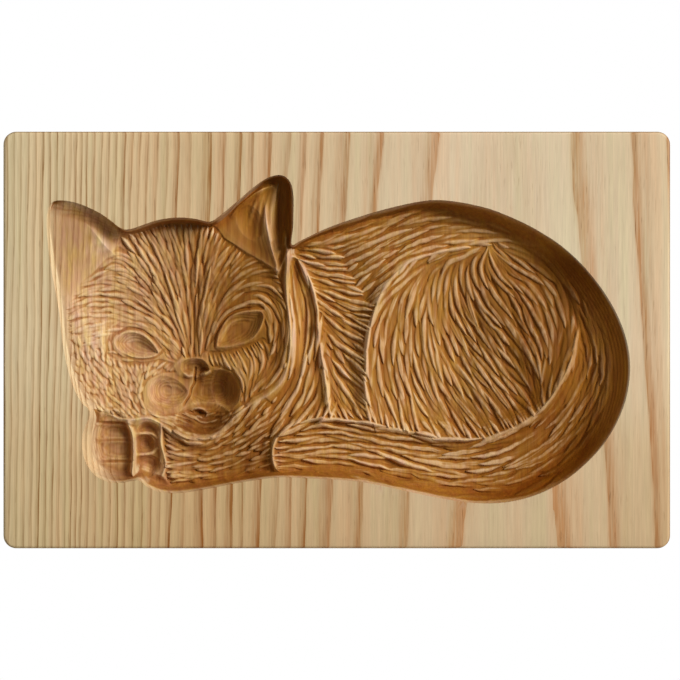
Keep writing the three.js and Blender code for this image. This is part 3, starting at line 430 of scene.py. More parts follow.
LHEAD_G = rev([
 [(66,322),(80,316),(95,313),(112,313),(130,317),(148,324),(164,336),(176,350)],
 [(66,310),(82,302),(100,299),(120,301),(140,308),(158,320),(172,338)],
 [(74,295),(90,288),(108,286),(126,291),(144,302),(160,318),(172,336)],
 [(90,281),(104,274),(118,273),(134,280),(150,296),(164,316)],
 [(100,268),(112,260),(124,262),(138,274),(152,292)],
 [(68,335),(84,330),(98,326),(112,324),(128,325)],
])
LCHEEK_P = [(66,338),(84,338),(98,342),(104,352),(114,360),(130,364),(146,362),(158,360),(172,364),(178,372),(160,372),(146,380),(140,392),(142,406),(150,416),(140,417),(128,419),(112,415),(96,410),(84,403),(76,392),(71,378),(67,362),(64,348)]
LCHEEK_G = [
 [(70,338),(72,355),(77,372),(84,388),(92,400)],
 [(84,338),(87,355),(93,372),(101,388),(110,402),(120,412)],
 [(98,344),(102,360),(109,375),(118,390),(128,404),(136,414)],
 [(110,360),(117,372),(124,385),(131,398),(140,412)],
 [(126,365),(130,376),(134,390),(138,404)],
 [(145,364),(144,374),(140,386),(138,398)],
 [(165,362),(158,368),(149,376),(143,386)],
]
RHEAD_P = [(222,238),(236,246),(250,255),(264,263),(276,270),(282,285),(285,303),(288,325),(288.5,345),(286,363),(279,377),(268,388),(254,396),(248,394),(256,386),(264,374),(269,360),(269,346),(266,334),(266,326),(262,314),(250,309),(236,311),(224,318),(216,330),(212,340),(206,345),(204,352),(199,352),(199,330),(203,305),(210,280),(217,255)]
UNDER_P = [(206,352),(222,352),(240,348),(254,342),(262,338),(271,345),(270,362),(263,377),(254,392),(247,403),(240,404),(242,392),(239,381),(231,371.5),(221,368),(209,366)]
UNDER_G = [
 [(211,352),(213,360),(217,368)],
 [(221,352),(225,361),(231,370)],
 [(232,350),(238,360),(243,371)],
 [(245,346),(252,357),(254,370),(250,384),(246,400)],
 [(236,372),(242,380),(244,391),(243,402)],
 [(257,340),(264,351),(265,366),(257,382)],
]
ORBIT_P = [(101,352),(99.5,338),(101,324),(107,315),(119,311),(134,313.5),(148,319.5),(160,330),(168,341),(160,346),(152,337),(142,331),(131,328.5),(121,330),(113,335),(109,342),(112,351),(120,357),(132,360.5),(140,363.5),(126,363),(112,360)]
ORBIT_G = [
 [(104,352),(103,338),(107,323),(118,315),(134,317),(149,323),(160,333),(167,341)],
 [(108,352),(107,340),(111,330),(121,324),(133,323),(146,328),(156,337),(163,346)],
 [(106,352),(114,358),(126,362),(140,363)],
]
CHIN_P = [(146,413),(160,416),(175,414.5),(190,410),(206,412),(220,414),(236,411),(243,404),(247,410),(238,420),(227,430),(214,437),(200,440),(188,436),(176,429),(160,422)]
CHIN_G = [
 [(150,415),(166,422),(181,430),(196,436),(208,436)],
 [(166,418),(182,423),(197,429),(210,431),(222,426),(234,416)],
 [(190,418),(199,424),(210,424),(222,419),(236,409)],
]
RHEAD_G = [
 [(200,340),(205,315),(213,292),(225,270),(238,253)],
 [(202,345),(209,318),(219,297),(234,279),(252,268),(264,266)],
 [(204,348),(212,322),(222,305),(238,292),(254,286),(268,286),(276,292)],
 [(206,350),(214,328),(225,313),(240,303),(256,300),(268,306),(274,320),(274,338),(268,354),(258,368)],
 [(262,296),(273,304),(280,320),(281,340),(277,358),(268,373),(256,385)],
 [(212,352),(211,360),(210,368)],
 [(222,352),(221,362),(221,371)],
 [(233,350),(233,361),(234,373)],
 [(244,348),(246,360),(245,374),(242,386)],
 [(256,342),(260,354),(258,370),(250,386)],
]
HAUNCH_P = grow(HAUNCH_P, 2.5); BACK_P = grow(BACK_P, 2.5); SHOULDER_P = grow(SHOULDER_P, 1.5); TAIL_P = grow(TAIL_P, 1.5)
RUFF_P = grow(RUFF_P, 2.0); FORE_P = grow(FORE_P, 2.0); LOCK_P = grow(LOCK_P, 1.0)
HEAD_ALL = [FHEAD_P, LHEAD_P, LCHEEK_P, RHEAD_P]; BODY_ALL = [BACK_P, SHOULDER_P, LOCK_P, RUFF_P]
REGIONS = [
 # name, polygon, guides, length, width (pixels), depth, step at the tip (mm), guide smoothing (pixels), packing along and across, regions around
 ("haunch", HAUNCH_P, HAUNCH_G, 46, 6.6, 0.66, 0.34, 12, 0.44, 0.74, ()),
 ("back", BACK_P, BACK_G, 46, 6.6, 0.76, 0.42, 10, 0.44, 0.74, ()),
 ("shoulder", SHOULDER_P, SHOULDER_G, 44, 6.4, 0.72, 0.32, 8, 0.46, 0.76, [RUFF_P]),
 ("lock", LOCK_P, LOCK_G, 60, 6.2, 0.78, 0.20, 8, 0.46, 0.76, ()),
 ("ruff", RUFF_P, RUFF_G, 44, 6.8, 0.86, 0.34, 8, 0.46, 0.76, BODY_ALL[1:]),
 ("tail", TAIL_P, TAIL_G, 60, 6.4, 0.92, 0.50, 12, 0.44, 0.74, ()),
 ("foreleg", FORE_P, FORE_G, 26, 5.2, 0.74, 0.26, 8, 0.46, 0.76, ()),
 ("forehead", FHEAD_P, FHEAD_G, 36, 5.8, 0.60, 0.21, 7, 0.46, 0.74, HEAD_ALL),
 ("left_brow", LHEAD_P, LHEAD_G, 24, 5.2, 0.50, 0.18, 7, 0.46, 0.72, HEAD_ALL),
 ("left_cheek", LCHEEK_P, LCHEEK_G, 13, 4.8, 0.44, 0.20, 7, 0.50, 0.72, HEAD_ALL),
 ("right_face", RHEAD_P, RHEAD_G, 36, 5.8, 0.52, 0.20, 7, 0.46, 0.76, HEAD_ALL),
 ("orbit", ORBIT_P, ORBIT_G, 20, 4.0, 0.34, 0.12, 6, 0.46, 0.74, ()),
 ("chin", CHIN_P, CHIN_G, 22, 4.0, 0.48, 0.22, 7, 0.46, 0.76, ()),
 ("under_eye", UNDER_P, UNDER_G, 30, 4.6, 0.40, 0.14, 7, 0.46, 0.76, ()),
]
# waver of the guides, then length, width, depth and end step of the locks that the hairs lie in
LOCKS = {"haunch": (0.07, 0, 0, 0, 0), "back": (0.16, 0, 0, 0, 0), "shoulder": (0.12, 0, 0, 0, 0),
         "ruff": (0.10, 0, 0, 0, 0), "tail": (0.20, 0, 0, 0, 0), "lock": (0.06, 0, 0, 0, 0),
         "foreleg": (0.14, 46, 13, 0.30, 0.40), "forehead": (0.06, 56, 13, 0.20, 0.20), "left_brow": (0.10, 0, 0, 0, 0),
         "left_cheek": (0.16, 0, 0, 0, 0), "right_face": (0.06, 60, 14, 0.25, 0.2)}
STRAY = {"haunch": 0.14, "back": 0.10, "shoulder": 0.10, "ruff": 0.08, "tail": 0.10, "foreleg": 0.12, "forehead": 0.06, "left_brow": 0.08,
         "left_cheek": 0.15, "orbit": 0.10, "chin": 0.12, "right_face": 0.05}
# hairs standing in each lock
HAIRS = {}

def flow(guides, blur_px, waver=0.0, phase=0.0):
    P, V = [], []
    for gd in guides:
        path = catmull(mm(gd, KI), False, 5)
        P.append(0.5*(path[1:]+path[:-1])); V.append(np.diff(path, axis=0))
    P, V = np.vstack(P), np.vstack(V); b2 = (blur_px/PX)**2*0.08
    def f(q):
        w = 1/(((q[:, None, :]-P[None])**2).sum(-1)+b2)**2
        v = (w[..., None]*V[None]).sum(1)
        v = v/(np.linalg.norm(v, axis=1, keepdims=True)+1e-12)
        x, y = q[:, 0], q[:, 1]
        t = waver*(np.sin(0.62*x+1.15*y+phase)*np.sin(1.20*x-0.55*y+2.1*phase+1.0)+0.5*np.sin(1.9*x+0.9*y+3.3*phase)*np.sin(0.8*x-2.1*y+phase))
        c, s = np.cos(t), np.sin(t)
        return np.stack([v[:, 0]*c-v[:, 1]*s, v[:, 0]*s+v[:, 1]*c], 1)
    return f

def make_cuts(rng, poly, guides, L, W, blur_px, pack_u, pack_v, around=(), waver=0.0, phase=0.0, stray=0.0):
    """cuts spread evenly over a region: path (mm), width, random number; their ends may run on into the regions around it"""
    poly = mm(poly, KI); around = [poly]+[mm(q, KI) for q in around]; f = flow(guides, blur_px, waver, phase); L, W = L/PX, W/PX
    lo, hi = poly.min(0), poly.max(0)
    c = lo+(hi-lo)*rng.random((int((hi-lo).prod()/(L*W)*70), 2)); c = c[in_poly(poly, c)]
    v = f(c); du, dv = L*pack_u, W*pack_v; R = max(du, dv); keep, cell = [], {}
    for i in range(len(c)):
        p, d = c[i], v[i]; key = (int(np.floor(p[0]/R)), int(np.floor(p[1]/R))); ok = True
        for a in (-1, 0, 1):
            for b in (-1, 0, 1):
                for j in cell.get((key[0]+a, key[1]+b), ()):
                    e = v[j]+d; e = e/(np.hypot(e[0], e[1])+1e-9); r = p-c[j]
                    if ((r[0]*e[0]+r[1]*e[1])/du)**2+((r[1]*e[0]-r[0]*e[1])/dv)**2 < 1: ok = False; break
                if not ok: break
            if not ok: break
        if ok: keep.append(i); cell.setdefault(key, []).append(i)
    c = c[keep]; m = len(c); n = 8
    Ls = L*(0.70+0.6*rng.random(m)); Ws = W*(0.80+0.40*rng.random(m)); R4 = rng.random(m); h = Ls/(2*n)
    st = stray*(2*rng.random(m)-1); cs, sn = np.cos(st)[:, None], np.sin(st)[:, None]
    turn = lambda v: np.concatenate([v[:, :1]*cs-v[:, 1:]*sn, v[:, :1]*sn+v[:, 1:]*cs], 1)
    sides = []
    for sg in (1, -1):
        p = c.copy(); rows = []
        for _ in range(n):
            d1 = turn(f(p)); d2 = turn(f(p+sg*d1*h[:, None]*0.5)); p = p+sg*d2*h[:, None]; rows.append(p)
        sides.append(rows)
    path = np.stack(sides[1][::-1]+[c]+sides[0], 1); out = []
    for i in range(m):
        q = path[i]; ins = np.zeros(len(q), bool); a = b = n
        for z in around: ins |= in_poly(z, q)
        while a > 0 and ins[a-1]: a -= 1
        while b < 2*n and ins[b+1]: b += 1
        if b-a >= 3: out.append((q[a:b+1], Ws[i]*min(1.0, 0.45+0.55*(b-a)/(2*n)), R4[i]))
    return out

def lens(s, tip):
    """half-width along a cut: opens from the root, is widest past the middle and closes to a point"""
    s = np.clip(s, 0, 1)
    up = np.sin(np.pi/2*np.clip(s/tip, 0, 1)); down = np.cos(np.pi/2*np.clip((s-tip)/(1-tip), 0, 1))
    return np.where(s < tip, np.clip(up, 0, 1)**0.75, np.clip(down, 0, 1)**0.85)

def cut_in(F, g, cuts, depth, lift, tip=0.6, hairs=0):
    for q, W, r in cuts:
        seg = np.linalg.norm(np.diff(q, axis=0), axis=1); cum = np.concatenate([[0], np.cumsum(seg)]); L = cum[-1]
        if L < 0.5: continue
        wmax = W/2*1.12; lo = q.min(0)-wmax; hi = q.max(0)+wmax
        win = g.window(lo[0], hi[0], lo[1], hi[1]); X, Y = g.X[win], g.Y[win]
        if X.size == 0: continue
        D = np.full(X.shape, 1e9); S = np.zeros(X.shape); U = np.zeros(X.shape)
        for i in range(len(q)-1):
            a, b = q[i], q[i+1]; dx, dy = b-a
            j0, j1 = np.searchsorted(Y[:, 0], [min(a[1], b[1])-wmax, max(a[1], b[1])+wmax])
            i0, i1 = np.searchsorted(X[0], [min(a[0], b[0])-wmax, max(a[0], b[0])+wmax])
            xs, ys = X[j0:j1, i0:i1], Y[j0:j1, i0:i1]
            t = np.clip(((xs-a[0])*dx+(ys-a[1])*dy)/(dx*dx+dy*dy+1e-12), 0, 1)
            d = (xs-a[0]-t*dx)**2+(ys-a[1]-t*dy)**2; m = d < D[j0:j1, i0:i1]
            D[j0:j1, i0:i1] = np.where(m, d, D[j0:j1, i0:i1]); S[j0:j1, i0:i1] = np.where(m, (cum[i]+t*seg[i])/L, S[j0:j1, i0:i1])
            U[j0:j1, i0:i1] = np.where(m, np.where(dx*(ys-a[1])-dy*(xs-a[0]) >= 0, 1.0, -1.0), U[j0:j1, i0:i1])
        w = wmax*lens(S, tip)+1e-3; r2 = D/(w*w)
        n = hairs if (r*7.3) % 1.0 < 0.72 else hairs-1
        if n > 0:
            # hairs standing inside a lock: fine ridges that run together at its ends
            u = U*np.sqrt(r2); rib = np.zeros(X.shape); sg = 0.46/(n+1)
            for k in range(n):
                off = 2*(k+1)/(n+1)-1+0.12*math.sin(r*37+k*5); rib = rib+(0.62+0.22*math.sin(r*91+k*7))*np.exp(-((u-off)/sg)**2)
        else: rib = 0.30*max(0.0, ((r*7.3) % 1.0)*1.6-0.5)*np.exp(-r2/0.07)
        val = depth*(0.55+0.45*w/wmax)*(0.72+0.56*r)*(1-r2-rib)+lift*(S-0.5)+lift*0.5*(r-0.5)
        F[win] = np.maximum(F[win], np.where(r2 < 1.6, val, -9.0))

def fur_depth(g):
    cover = np.zeros(g.X.shape)
    for reg in REGIONS: cover = np.maximum(cover, inside(g, mm(reg[1], KI)))
    cover = blur(cover.astype(float), int(round(0.35/H)))
    F = 0.25-0.65*np.clip(cover*1.5-0.25, 0, 1)
    T = np.zeros(g.X.shape)
    for k, (name, poly, guides, L, W, depth, lift, bl, pu, pv, around) in enumerate(REGIONS):
        wv, tl, tw, td, tf = LOCKS.get(name, (0.0, 0, 0, 0, 0))
        cut_in(F, g, make_cuts(np.random.default_rng(700+k), poly, guides, L, W, bl, pu, pv, around, wv, k, STRAY.get(name, 0.0)), depth, lift, 0.58, HAIRS.get(name, 0))
        if td:
            # locks: broader hollows under the hairs, each ending in a step
            cut_in(T, g, make_cuts(np.random.default_rng(800+k), poly, guides, tl, tw, bl, 0.50, 0.80, around, wv, k), td, tf, 0.66)
    F = smax(F, -0.02, 0.12)+blur(T, int(round(0.16/H)))
    F = 0.50-F                                          # the strokes are what is left standing between the cuts
    F = 0.60*F+0.40*blur(F, 1)
    t = np.clip((g.X-28)/26, 0, 1); F = 0.25+(F-0.25)*(1-0.42*t*t*(3-2*t))          # shallower towards the tail's bend
    for poly, level, soft in SMOOTH:
        m = np.clip(blur(inside(g, mm(poly, KI)).astype(float), int(round(soft/2/H)))*1.15, 0, 1)
        F = F*(1-m)+level*m; cover = cover*(1-m)
    return F, cover

# soft spots that darken (plus) and lighten (minus) the cut wood: painted shadow under the chin, in the cut between the
# muzzle pads and in the nose's right corner, painted highlights on the left muzzle pad, the left eye and inside both
# ears, and plain tone shifts elsewhere: centre, half axes (pixels), turn, amount
SPOT_TONE_AND_SHADE = [
 (200,425, 30,12, 4, 1.2),(192,366, 9,5, 0, 0.35),(255,455, 18,20, 0, 0.35),(180,238, 32,9, -4, 0.45),(105,312, 24,12, 10, 0.2),(128,300, 36,20, 25, 0.25),(194,371, 19,12, 0, 0.5),(203,394, 11,15, 0, 1.0),(229,388, 12,16, 0, -0.3),(455,478, 90,7, 3, 0.3),(160,391, 8,8, 0, -1.0),(176,388, 6,8, 0, -0.35),(173,398, 10,10, 0, 0.15),(345,248, 34,16, -22, 0.35),(205,367, 3.5,3, 0, 1.2),(415,232, 46,13, -12, 0.4),(134,346, 23,13, 14, 0.4),(128,340, 8,5, 20, -0.8),(99,246, 12,8, 40, -0.5),(430,222, 46,12, -6, 0.4),(192,432, 26,8, 6, -0.15),(240,331, 24,15, -35, 0.4),
 (114,450, 19,32, 0, 0.6),(215,458, 58,20, -6, 0.45),(255,446, 18,28, 0, 0.7),(74,240, 16,30, 8, 0.35),(245,285, 34,24, 30, 0.3),
 (273,340, 11,38, 0, 0.35),(558,335, 14,44, 0, 0.6),(398,350, 24,56, 0, 0.3),(480,415, 44,17, 0, 0.35),(512,330, 30,50, 0, 0.25),(572,432, 28,26, -45, 0.45),
 (304,322, 11,46, 0, -0.9),(266,222, 6,28, 0, -0.5),(306,410, 24,16, 0, 0.1),(235,362, 24,10, 0, -0.5),(480,470, 60,16, 0, -0.3),
 (343,378, 18,38, 0, -0.4),(92,330, 22,40, 0, -0.3)]

def spot_tone_and_shade(g):
    S = np.zeros(g.X.shape)
    for cx, cy, rx, ry, turn, amt in SPOT_TONE_AND_SHADE:
        t = math.radians(turn); X, Y = g.X-mmx(cx)*KI, g.Y-mmy(cy)*KI
        u = (X*math.cos(t)+Y*math.sin(t))*PX/rx; v = (Y*math.cos(t)-X*math.sin(t))*PX/ry
        S = S+amt*np.exp(-(u*u+v*v)**1.3*0.8)
    return S

def carve(g):
    """full depth of the carving (mm), signed distance to its outline, groove measure, nearest outline point"""
    Z, d, W, NX, NY, P = base_depth(g)
    F, C = fur_depth(g)
    # the hairs grow shallower up the wall and run out below the rim
    t = np.clip((d-np.minimum(0.18*W, 2.0))/np.minimum(0.55*W, 5.2), 0, 1); k = np.clip((g.X+13)/3, 0, 1)*np.clip((22-g.X)/8, 0, 1)*np.clip((g.Y-10)/4, 0, 1); t = t+(np.clip((d-0.1)/0.9, 0, 1)-t)*k
    low = np.clip((g.X+12)/3, 0, 1)*np.clip((58-g.X)/10, 0, 1)*np.clip((-20-g.Y)/4, 0, 1); t = t+(np.clip((d-0.2)/1.0, 0, 1)-t)*low
    F = F*(t*t*(3-2*t))*(1-0.5*(1-k)*(1-low)*np.clip(1-d/W, 0, 1))
    D = np.where(d > 0, np.maximum(smin(Z, wall_profile(np.maximum(d, 0), W), 0.5)+F, 0.0), 0.0)
    D = D+np.where(d > 0, (0.018+0.026*np.clip(P, 0, 1))*np.sin(2*np.pi*D/0.50)*np.clip(d/2, 0, 1), 0)        # steps left by the cutter
    # the groove and ridge measures only colour the cuts; they are raised on the back, along the tail's lower band and
    # in the middle, where the lamp shades the strokes weakly, to strengthen the painted groove shade and ridge
    # highlights there
    mid = np.clip((g.X+17)/4, 0, 1)*np.clip((22-g.X)/8, 0, 1)*(1-k)*(1-low)
    Q = D-0.85*np.where(d > 0, P, 0)                    # the eyes, nose and pads keep the tone of what is around them
    G = (Q-0.6*blur(Q, int(round(0.45/H)))-0.4*blur(Q, int(round(1.1/H))))*(1+0.7*k+0.45*low+0.3*mid)
    R = np.clip((0.3*blur(Q, 2)+0.7*blur(Q, 5)-Q)/0.13, 0, 1.5)*(0.25+0.75*C)*(1+0.7*k+0.6*low+0.4*mid)      # ridges between the cuts
    return D, d, G, R, NX, NY

# ---------------------------------------------------------------------------------------------------------------
# Mesh of the board
# ---------------------------------------------------------------------------------------------------------------
def carved_surface():
    """vertices (mm), triangles, attributes and the rim loop of the carved hollow"""
    o = outline_mm()
    x0, y0 = np.floor(o.min(0)/H)*H-3*H; x1, y1 = np.ceil(o.max(0)/H)*H+3*H
    g = Grid(x0+H*np.arange(int(round((x1-x0)/H))+1), y0+H*np.arange(int(round((y1-y0)/H))+1))
    D, d, F, W, NX, NY = carve(g)
    on = np.abs(d) < 0.5*H; inn = (d >= 0.5*H)
    X = np.where(on, NX, g.X); Y = np.where(on, NY, g.Y); Z = np.where(inn, THICK-D, THICK)
    ny, nx = X.shape; idx = np.arange(ny*nx).reshape(ny, nx)
    a, b, c, e = idx[:-1, :-1], idx[:-1, 1:], idx[1:, 1:], idx[1:, :-1]          # corners, counter-clockwise
    st = np.where(inn, 2, np.where(on, 1, 0)).ravel()
    A, B, C, E = (st[k] for k in (a, b, c, e))
    zf = Z.ravel()
    # split each cell along the diagonal that bends less, or along on-on where a corner is outside
    d1 = np.abs(zf[a]-zf[c]); d2 = np.abs(zf[b]-zf[e])
    diag_ac = d1 <= d2
    diag_ac = np.where((B == 0) | (E == 0), True, diag_ac)
    diag_ac = np.where((A == 0) | (C == 0), False, diag_ac)
    t1 = np.where(diag_ac[..., None], np.stack([a, b, c], -1), np.stack([a, b, e], -1)).reshape(-1, 3)
    t2 = np.where(diag_ac[..., None], np.stack([a, c, e], -1), np.stack([b, c, e], -1)).reshape(-1, 3)
    T = np.vstack([t1, t2]); s3 = st[T]
    ok = (s3.min(1) > 0)
    allon = ok & (s3.max(1) == 1)
    if allon.any():
        cen = np.stack([X.ravel()[T[allon]].mean(1), Y.ravel()[T[allon]].mean(1)], 1)
        ok[np.where(allon)[0]] = in_poly(o, cen)
    T = T[ok]
    # no slivers of no area
    P = np.stack([X.ravel(), Y.ravel()], 1)
    u = P[T[:, 1]]-P[T[:, 0]]; v = P[T[:, 2]]-P[T[:, 0]]
    T = T[(u[:, 0]*v[:, 1]-u[:, 1]*v[:, 0]) > 1e-7]
    used = np.unique(T); remap = -np.ones(ny*nx, int); remap[used] = np.arange(len(used)); T = remap[T]
    co = np.stack([X.ravel(), Y.ravel(), Z.ravel()], 1)[used]
    att = {"depth": D.ravel()[used], "groove": F.ravel()[used], "edge": d.ravel()[used], "ridge": W.ravel()[used], "spot_tone_and_shade": spot_tone_and_shade(g).ravel()[used]}
    # rim loop: directed edges used once
    ed = np.vstack([T[:, [0, 1]], T[:, [1, 2]], T[:, [2, 0]]])
    key = ed[:, 0].astype(np.int64)*len(co)+ed[:, 1]; rkey = ed[:, 1].astype(np.int64)*len(co)+ed[:, 0]
    rim = ed[~np.isin(key, rkey)]
    nxt = dict(zip(rim[:, 0].tolist(), rim[:, 1].tolist()))
    assert len(nxt) == len(rim), "rim touches itself"
    loops = []
    left = set(nxt)
    while left:
        s = next(iter(left)); lp = [s]; left.discard(s); k = nxt[s]
        while k != s: lp.append(k); left.discard(k); k = nxt[k]
        loops.append(lp)
    loops.sort(key=len, reverse=True)
    return co, T, att, loops

def rounded(inset, n=10):
    """the plank's outline pulled in by inset, counter-clockwise, with the same number of points for any inset"""
    r = CORNER-inset; X, Y = LENGTH/2-CORNER, WIDTH/2-CORNER; pts = []
    for cx, cy, a0 in ((X, -Y, -90), (X, Y, 0), (-X, Y, 90), (-X, -Y, 180)):
        for k in range(n+1):
            t = math.radians(a0+90*k/n); pts.append((cx+r*math.cos(t), cy+r*math.sin(t)))
    q = np.array(pts); out = []
    for i in range(len(q)):                      # extra points on the straight sides
        a, b = q[i], q[(i+1) % len(q)]; L = np.linalg.norm(b-a); m = max(1, int(round(L/5.0))) if L > 20 else 1
        for k in range(m): out.append(a+(b-a)*k/m)
    return np.array(out)

def build_board():
    co, T, att, loops = carved_surface()
    assert len(loops) == 1, [len(l) for l in loops]
    rim = loops[0]
    V = [co]; n0 = len(co); tris = [T]; quads = []
    # rings round the plank: face edge, side, back edge
    prof = [(EDGE*(1-math.sin(t)), THICK-EDGE*(1-math.cos(t))) for t in np.linspace(0, math.pi/2, 7)]
    prof += [(0.0, z) for z in (14.0, 10.0, 6.0)]
    prof += [(EDGE*(1-math.cos(t)), EDGE*(1-math.sin(t))) for t in np.linspace(0, math.pi/2, 7)]
    rings = []
    for ins, z in prof:
        p = rounded(ins); rings.append(np.arange(len(p))+n0); V.append(np.column_stack([p, np.full(len(p), z)])); n0 += len(p)
    for r0, r1 in zip(rings[:-1], rings[1:]):
        m = len(r0); i = np.arange(m); j = (i+1) % m
        quads.append(np.stack([r0[i], r1[i], r1[j], r0[j]], 1))
    allv = np.vstack(V)
    # flat face between the rim of the carving and the edge, and the flat back
    def fill(loop_a, loop_b=None, keep=None, flip=False, extra=None):
        ids = list(loop_a)+(list(loop_b) if loop_b is not None else [])
        pts = [Vector(allv[k, :2]) for k in ids]; na = len(loop_a); nb = len(ids)-na
        edges = [(k, (k+1) % na) for k in range(na)]+[(na+k, na+(k+1) % nb) for k in range(nb)]
        ne = 0
        if extra is not None: pts += [Vector(p) for p in extra]; ne = len(extra)
        vv, ee, ff, ov, oe, of = delaunay_2d_cdt(pts, edges, [], 0, 1e-7)
        tri = np.array([f for f in ff if len(f) == 3])
        back = np.array([o[0] if o else -1 for o in ov])
        P = np.array([[v[0], v[1]] for v in vv]); cen = P[tri].mean(1)
        u = P[tri[:, 1]]-P[tri[:, 0]]; w = P[tri[:, 2]]-P[tri[:, 0]]
        cr = u[:, 0]*w[:, 1]-u[:, 1]*w[:, 0]
        tri[cr < 0] = tri[cr < 0][:, ::-1]
        m = keep(cen) & (np.abs(cr) > 1e-9)
        return tri[m], back, P, ids, ne
    rimP = allv[rim][:, :2]
    ex = []
    step = 4.0
    for x in np.arange(-76, 76.1, step):
        for y in np.arange(-46, 46.1, step): ex.append((x, y))
    ex = np.array(ex); dmin = np.sqrt(((ex[:, None]-rimP[None, ::6])**2).sum(-1)).min(1)
    ex = ex[(~in_poly(rimP, ex)) & (dmin > 1.5)]
    tri, back, P, ids, ne = fill(rim, rings[0], lambda c: ~in_poly(rimP, c), extra=[tuple(p) for p in ex])
    newv = []
    def to_mesh(tri, back, P, ids, z):
        nonlocal n0
        out = np.full(len(P), -1)
        for k, bk in enumerate(back):
            if 0 <= bk < len(ids): out[k] = ids[bk]
        for k in range(len(P)):
            if out[k] < 0: newv.append((P[k][0], P[k][1], z)); out[k] = n0; n0 += 1
        return out[tri]
    tris.append(to_mesh(tri, back, P, ids, THICK))
    bex = np.array([(x, y) for x in np.arange(-75, 75.1, 10) for y in np.arange(-45, 45.1, 10)])
    tri, back, P, ids, ne = fill(rings[-1], None, lambda c: np.ones(len(c), bool), extra=[tuple(p) for p in bex])
    tris.append(to_mesh(tri, back, P, ids, 0.0)[:, ::-1])
    allv = np.vstack([allv, np.array(newv)])
    quads = np.vstack(quads); tris_all = np.vstack(tris)
    nt, nq, nv = len(tris_all), len(quads), len(allv)
    me = bpy.data.meshes.new("mould_board")
    me.vertices.add(nv); me.vertices.foreach_set("co", (allv*MM).astype(np.float32).ravel())
    loops_v = np.concatenate([tris_all.ravel(), quads.ravel()]).astype(np.int32)
    me.loops.add(len(loops_v)); me.loops.foreach_set("vertex_index", loops_v)
    starts = np.concatenate([np.arange(nt)*3, nt*3+np.arange(nq)*4]).astype(np.int32)
    me.polygons.add(nt+nq); me.polygons.foreach_set("loop_start", starts)
    me.update(calc_edges=True)
    me.polygons.foreach_set("use_smooth", np.ones(nt+nq, bool))
    # attributes
    ncv = len(co)
    def put(name, vals, default):
        a = me.attributes.new(name, "FLOAT", "POINT"); full = np.full(nv, default, np.float32); full[:ncv] = vals; a.data.foreach_set("value", full)
    inside_amt = np.clip(att["edge"]/0.5, 0, 1)
    put("carved", inside_amt, 0.0); put("groove", att["groove"], 0.0); put("depth", att["depth"], 0.0)
    put("edge", att["edge"], -9.0); put("ridge", att["ridge"], 0.0); put("spot_tone_and_shade", att["spot_tone_and_shade"], 0.0)
    # sharp rim
    evs = np.empty(len(me.edges)*2, np.int32); me.edges.foreach_get("vertices", evs); evs = evs.reshape(-1, 2)
    rimset = np.zeros(nv, bool); rimset[rim] = True
    nxt = np.full(nv, -1); nxt[rim] = np.roll(rim, -1)
    sharp = rimset[evs[:, 0]] & rimset[evs[:, 1]] & ((nxt[evs[:, 0]] == evs[:, 1]) | (nxt[evs[:, 1]] == evs[:, 0]))
    a = me.attributes.new("sharp_edge", "BOOLEAN", "EDGE"); a.data.foreach_set("value", sharp)
    # bake map: face on top, back and sides below it
    uv = me.uv_layers.new(name="OFBake"); P = allv[loops_v]
    part = np.zeros(nt+nq, int)                                  # 0 face, 1 back, 2 side
    ntop = len(tris[0])+len(tris[1]); part[ntop:nt] = 1
    m = len(rings[0]); ringno = np.repeat(np.arange(len(rings)-1), m)
    part[nt:] = np.where(ringno < 6, 0, np.where(ringno >= len(rings)-7, 1, 2))
    lp = np.concatenate([np.repeat(part[:nt], 3), np.repeat(part[nt:], 4)])
    k = 0.976/LENGTH
    U = np.where(lp == 0, 0.012+(P[:, 0]+LENGTH/2)*k, 0.0); Vv = np.where(lp == 0, 0.380+(P[:, 1]+WIDTH/2)*k, 0.0)
    kb = 0.54/LENGTH
    U = np.where(lp == 1, 0.012+(LENGTH/2-P[:, 0])*kb, U); Vv = np.where(lp == 1, 0.012+(P[:, 1]+WIDTH/2)*kb, Vv)
    # sides: a strip by the length along the edge, in four rows
    ringpts = rounded(0.0); per = np.concatenate([[0], np.cumsum(np.linalg.norm(np.diff(np.vstack([ringpts, ringpts[:1]]), axis=0), axis=1))])
    q = len(ringpts); seg_i = np.tile(np.arange(q), len(rings)-1)
    c0 = per[seg_i]; c1 = per[seg_i+1]; tot = per[-1]
    qs = np.stack([c0, c0, c1, c1], 1)                            # r0[i], r1[i], r1[j], r0[j]
    row = np.minimum((4*(c0+c1)/2/tot).astype(int), 3)
    ks = 0.42/(tot/4+6)
    su = 0.57+(qs-row[:, None]*tot/4+3)*ks
    zq = allv[quads][:, :, 2]
    sv = 0.016+row[:, None]*0.085+zq*ks
    fu = np.zeros(len(loops_v)); fv = np.zeros(len(loops_v)); fu[nt*3:] = su.ravel(); fv[nt*3:] = sv.ravel()
    U = np.where(lp == 2, fu, U); Vv = np.where(lp == 2, fv, Vv)
    uv.data.foreach_set("uv", np.stack([U, Vv], 1).astype(np.float32).ravel())
    me.validate(verbose=False); me.update()
    ob = bpy.data.objects.new("carved_board", me); sc.collection.objects.link(ob)
    return ob

board = build_board()

# ---------------------------------------------------------------------------------------------------------------
# Ash wood, as a solid grain that the carving cuts through
# ---------------------------------------------------------------------------------------------------------------
def srgb(r, g, b):
    f = lambda c: ((c/255)/12.92 if c/255 <= 0.04045 else (((c/255)+0.055)/1.055)**2.4)
    return (f(r), f(g), f(b), 1.0)

RINGS = [0.0, 6.0, 12.0, 18.5, 25.0, 31.0, 37.6, 43.0, 50.1, 55.4, 59.9, 62.9, 65.9, 69.1, 72.9, 75.0, 78.5, 81.3, 85.8, 88.2, 90.7, 92.8, 94.9, 96.7, 98.6,
         100.1, 102.0, 103.6, 105.2, 106.9, 108.6, 109.8, 111.0, 112.3, 113.6, 115.0, 116.6, 118.3, 120.0, 121.7, 123.4, 125.1, 126.8, 128.5, 130.2]
R_MAX = 132.0

